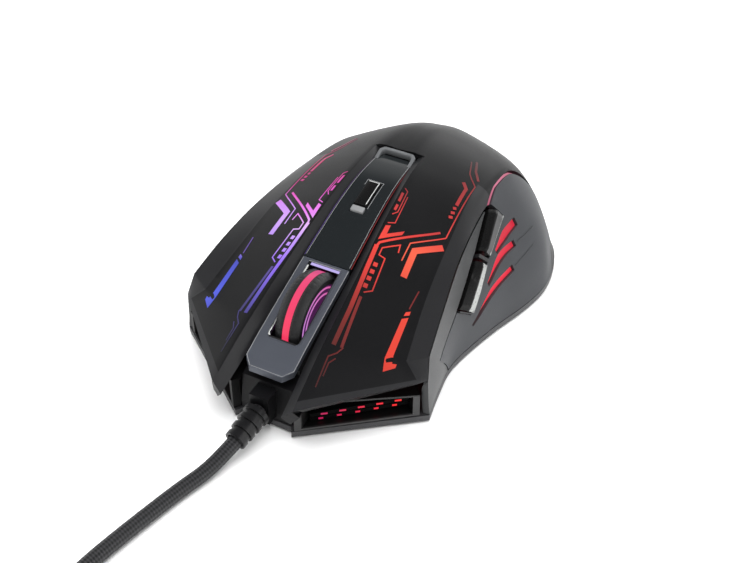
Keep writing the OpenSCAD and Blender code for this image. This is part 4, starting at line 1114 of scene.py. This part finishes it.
# ---- finishes of the CAD nodes that stay ----
def bezel_with_painted_shade(s):
    """Grey on the bezel's front face, with painted shade: black inside its mouth and on its top rim under
    the lip.
    """
    face_depth, rim_height, slope = 0.25, 11.75, 0.078
    # Planes of painted shade: the mouth behind the front face, and the top rim under the lip.
    mouth = (tuple(in_intake(s, 0, face_depth, 0) * MM), (s * INTAKE_Y.x, INTAKE_Y.y, 0))
    rim = (tuple(in_intake(s, 0, 0, rim_height) * MM), (s * INTAKE_X.x * slope, INTAKE_X.y * slope, 1))
    if s > 0:
        return surface("bezel_right", (0.026, 0.026, 0.026), 0.4, shine=0.35, painted_shade_planes=(mouth, rim))
    # The left bezel is a darker copy of the right one: painted shade against the light falling on it.
    return surface("bezel_left_painted_shade", (0.005, 0.005, 0.005), 0.55, shine=0.15, painted_shade_planes=(mouth, rim))


def dress_frame():
    finishes = {
        BASE: ["base_plate"],
        bezel_with_painted_shade(-1): ["left_intake_bezel"],
        bezel_with_painted_shade(1): ["right_intake_bezel"],
        SOFT_BLACK: ["front_chin"],
        EDGE_BLACK: ["side_button_frame", "wheel_slot_trim"],
        VOID: ["left_intake_grille", "right_intake_grille"],
        DEEP: ["chassis", "dpi_switch", "side_switches", "wheel_encoder", "wheel_switch", "left_switch",
               "right_switch", "optical_sensor", "controller_chip", "wheel_cradle"],
        STEEL_BLUE: ["wheel_surround"],
        PINK_RING: ["wheel_light_ring"],
        VIOLET_HUB: ["wheel_hub"],
        STEEL: ["wheel_axle", "wheel_spring", "case_screws", "steel_weight", "usb_plug_shell"],
        BOARD: ["main_pcb", "side_pcb"],
        NYLON: ["left_plunger", "right_plunger", "cable_connector", "leds"],
        GLIDE: ["front_feet", "rear_foot"],
        LENS: ["sensor_lens"],
        RELIEF: ["strain_relief"],
        DIM_RED: ["right_cover_light"],
        DIM_BLUE: ["left_cover_light"],
    }
    for material, names in finishes.items():
        for name in names:
            dress(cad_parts[name], material)


# ---- camera, floor and light ----
def aim(obj, target):
    obj.rotation_euler = (Vector(target) - obj.location).to_track_quat("-Z", "Y").to_euler()


def make_camera():
    bpy.context.scene.view_settings.view_transform = "Standard"
    data = bpy.data.cameras.new("camera")
    data.sensor_width = 36
    data.lens = 60.48
    camera = linked("camera", data)
    target = Vector((8.1, -8.5, 17.3)) * MM
    turn, lift, distance = math.radians(27.4), math.radians(40.5), 0.336
    camera.location = target + distance * Vector((
        math.cos(lift) * math.sin(turn), -math.cos(lift) * math.cos(turn), math.sin(lift)))
    aim(camera, target)
    bpy.context.scene.camera = camera


def area(name, place, target, size, watts):
    data = bpy.data.lights.new(name, "AREA")
    data.shape = "RECTANGLE"
    data.size, data.size_y = size
    data.energy = watts
    lamp = linked(name, data)
    lamp.location = place
    aim(lamp, target)
    return lamp


def floor_white():
    """White paper that turns as bright as the backdrop away from the middle."""
    material, tree, shader, places = new_material("floor_white")
    away = add(tree, "VectorMath", {0: places["Object"]}, operation="LENGTH").outputs["Value"]
    fade = add(tree, "MapRange", {"Value": away, "From Min": 0.3, "From Max": 1.0},
               interpolation_type="SMOOTHSTEP").outputs["Result"]
    paper = add(tree, "Mix", {"Factor": fade, "A": (0.92, 0.92, 0.92, 1), "B": (0, 0, 0, 1)},
                data_type="RGBA")
    feed(tree, shader, {
        "Base Color": paper.outputs["Result"], "Emission Color": (1, 1, 1, 1), "Emission Strength": fade,
        "Specular IOR Level": 0.0, "Roughness": 0.9})
    return material


def make_stage():
    bpy.ops.mesh.primitive_plane_add(size=6, location=(0, 0, -0.00005))
    floor = bpy.context.object
    floor.name = "floor"
    dress(floor, floor_white())
    world = bpy.data.worlds.new("studio")
    world.use_nodes = True
    tree = world.node_tree
    split = add(tree, "SeparateXYZ", {"Vector": add(tree, "TexCoord").outputs["Generated"]})
    shade = ramp(tree, split.outputs["Z"], [(0.30, 1, 1, 1), (0.75, 0.16, 0.16, 0.165)])
    feed(tree, tree.nodes["Background"], {"Color": shade, "Strength": 1.0})
    bpy.context.scene.world = world
    overhead = area("overhead", (0.0, -0.05, 0.9), (0, 0, 0), (0.9, 0.9), 14)
    overhead.visible_glossy = False
    area("rear_soft", (0.1, 0.6, 0.30), (0, 0.03, 0.03), (0.6, 0.25), 1.6)
    area("left_soft", (-0.5, -0.15, 0.35), (0, 0, 0.02), (0.35, 0.5), 0.4)
    area("right_soft", (0.5, -0.1, 0.3), (0.02, 0, 0.02), (0.3, 0.4), 0.9)


make_camera()
make_cable()
make_stage()
dress_frame()
make_palm()
make_wing(-1, "left_button")
make_wing(1, "right_button")
make_lines(-1, "left", BLUE_NEAR, BLUE_FAR, DIM_BLUE)
make_lines(1, "right", RED_NEAR, RED_FAR, DIM_RED)
make_rail(-1, "left_side_rail")
make_rail(1, "right_side_rail")
make_grips()
make_side_button(0, "forward_button", CHROME)
make_side_button(1, "back_button", KEY_GREY)
make_centre()
make_wheel()
make_intake(-1, "left")
make_intake(1, "right")
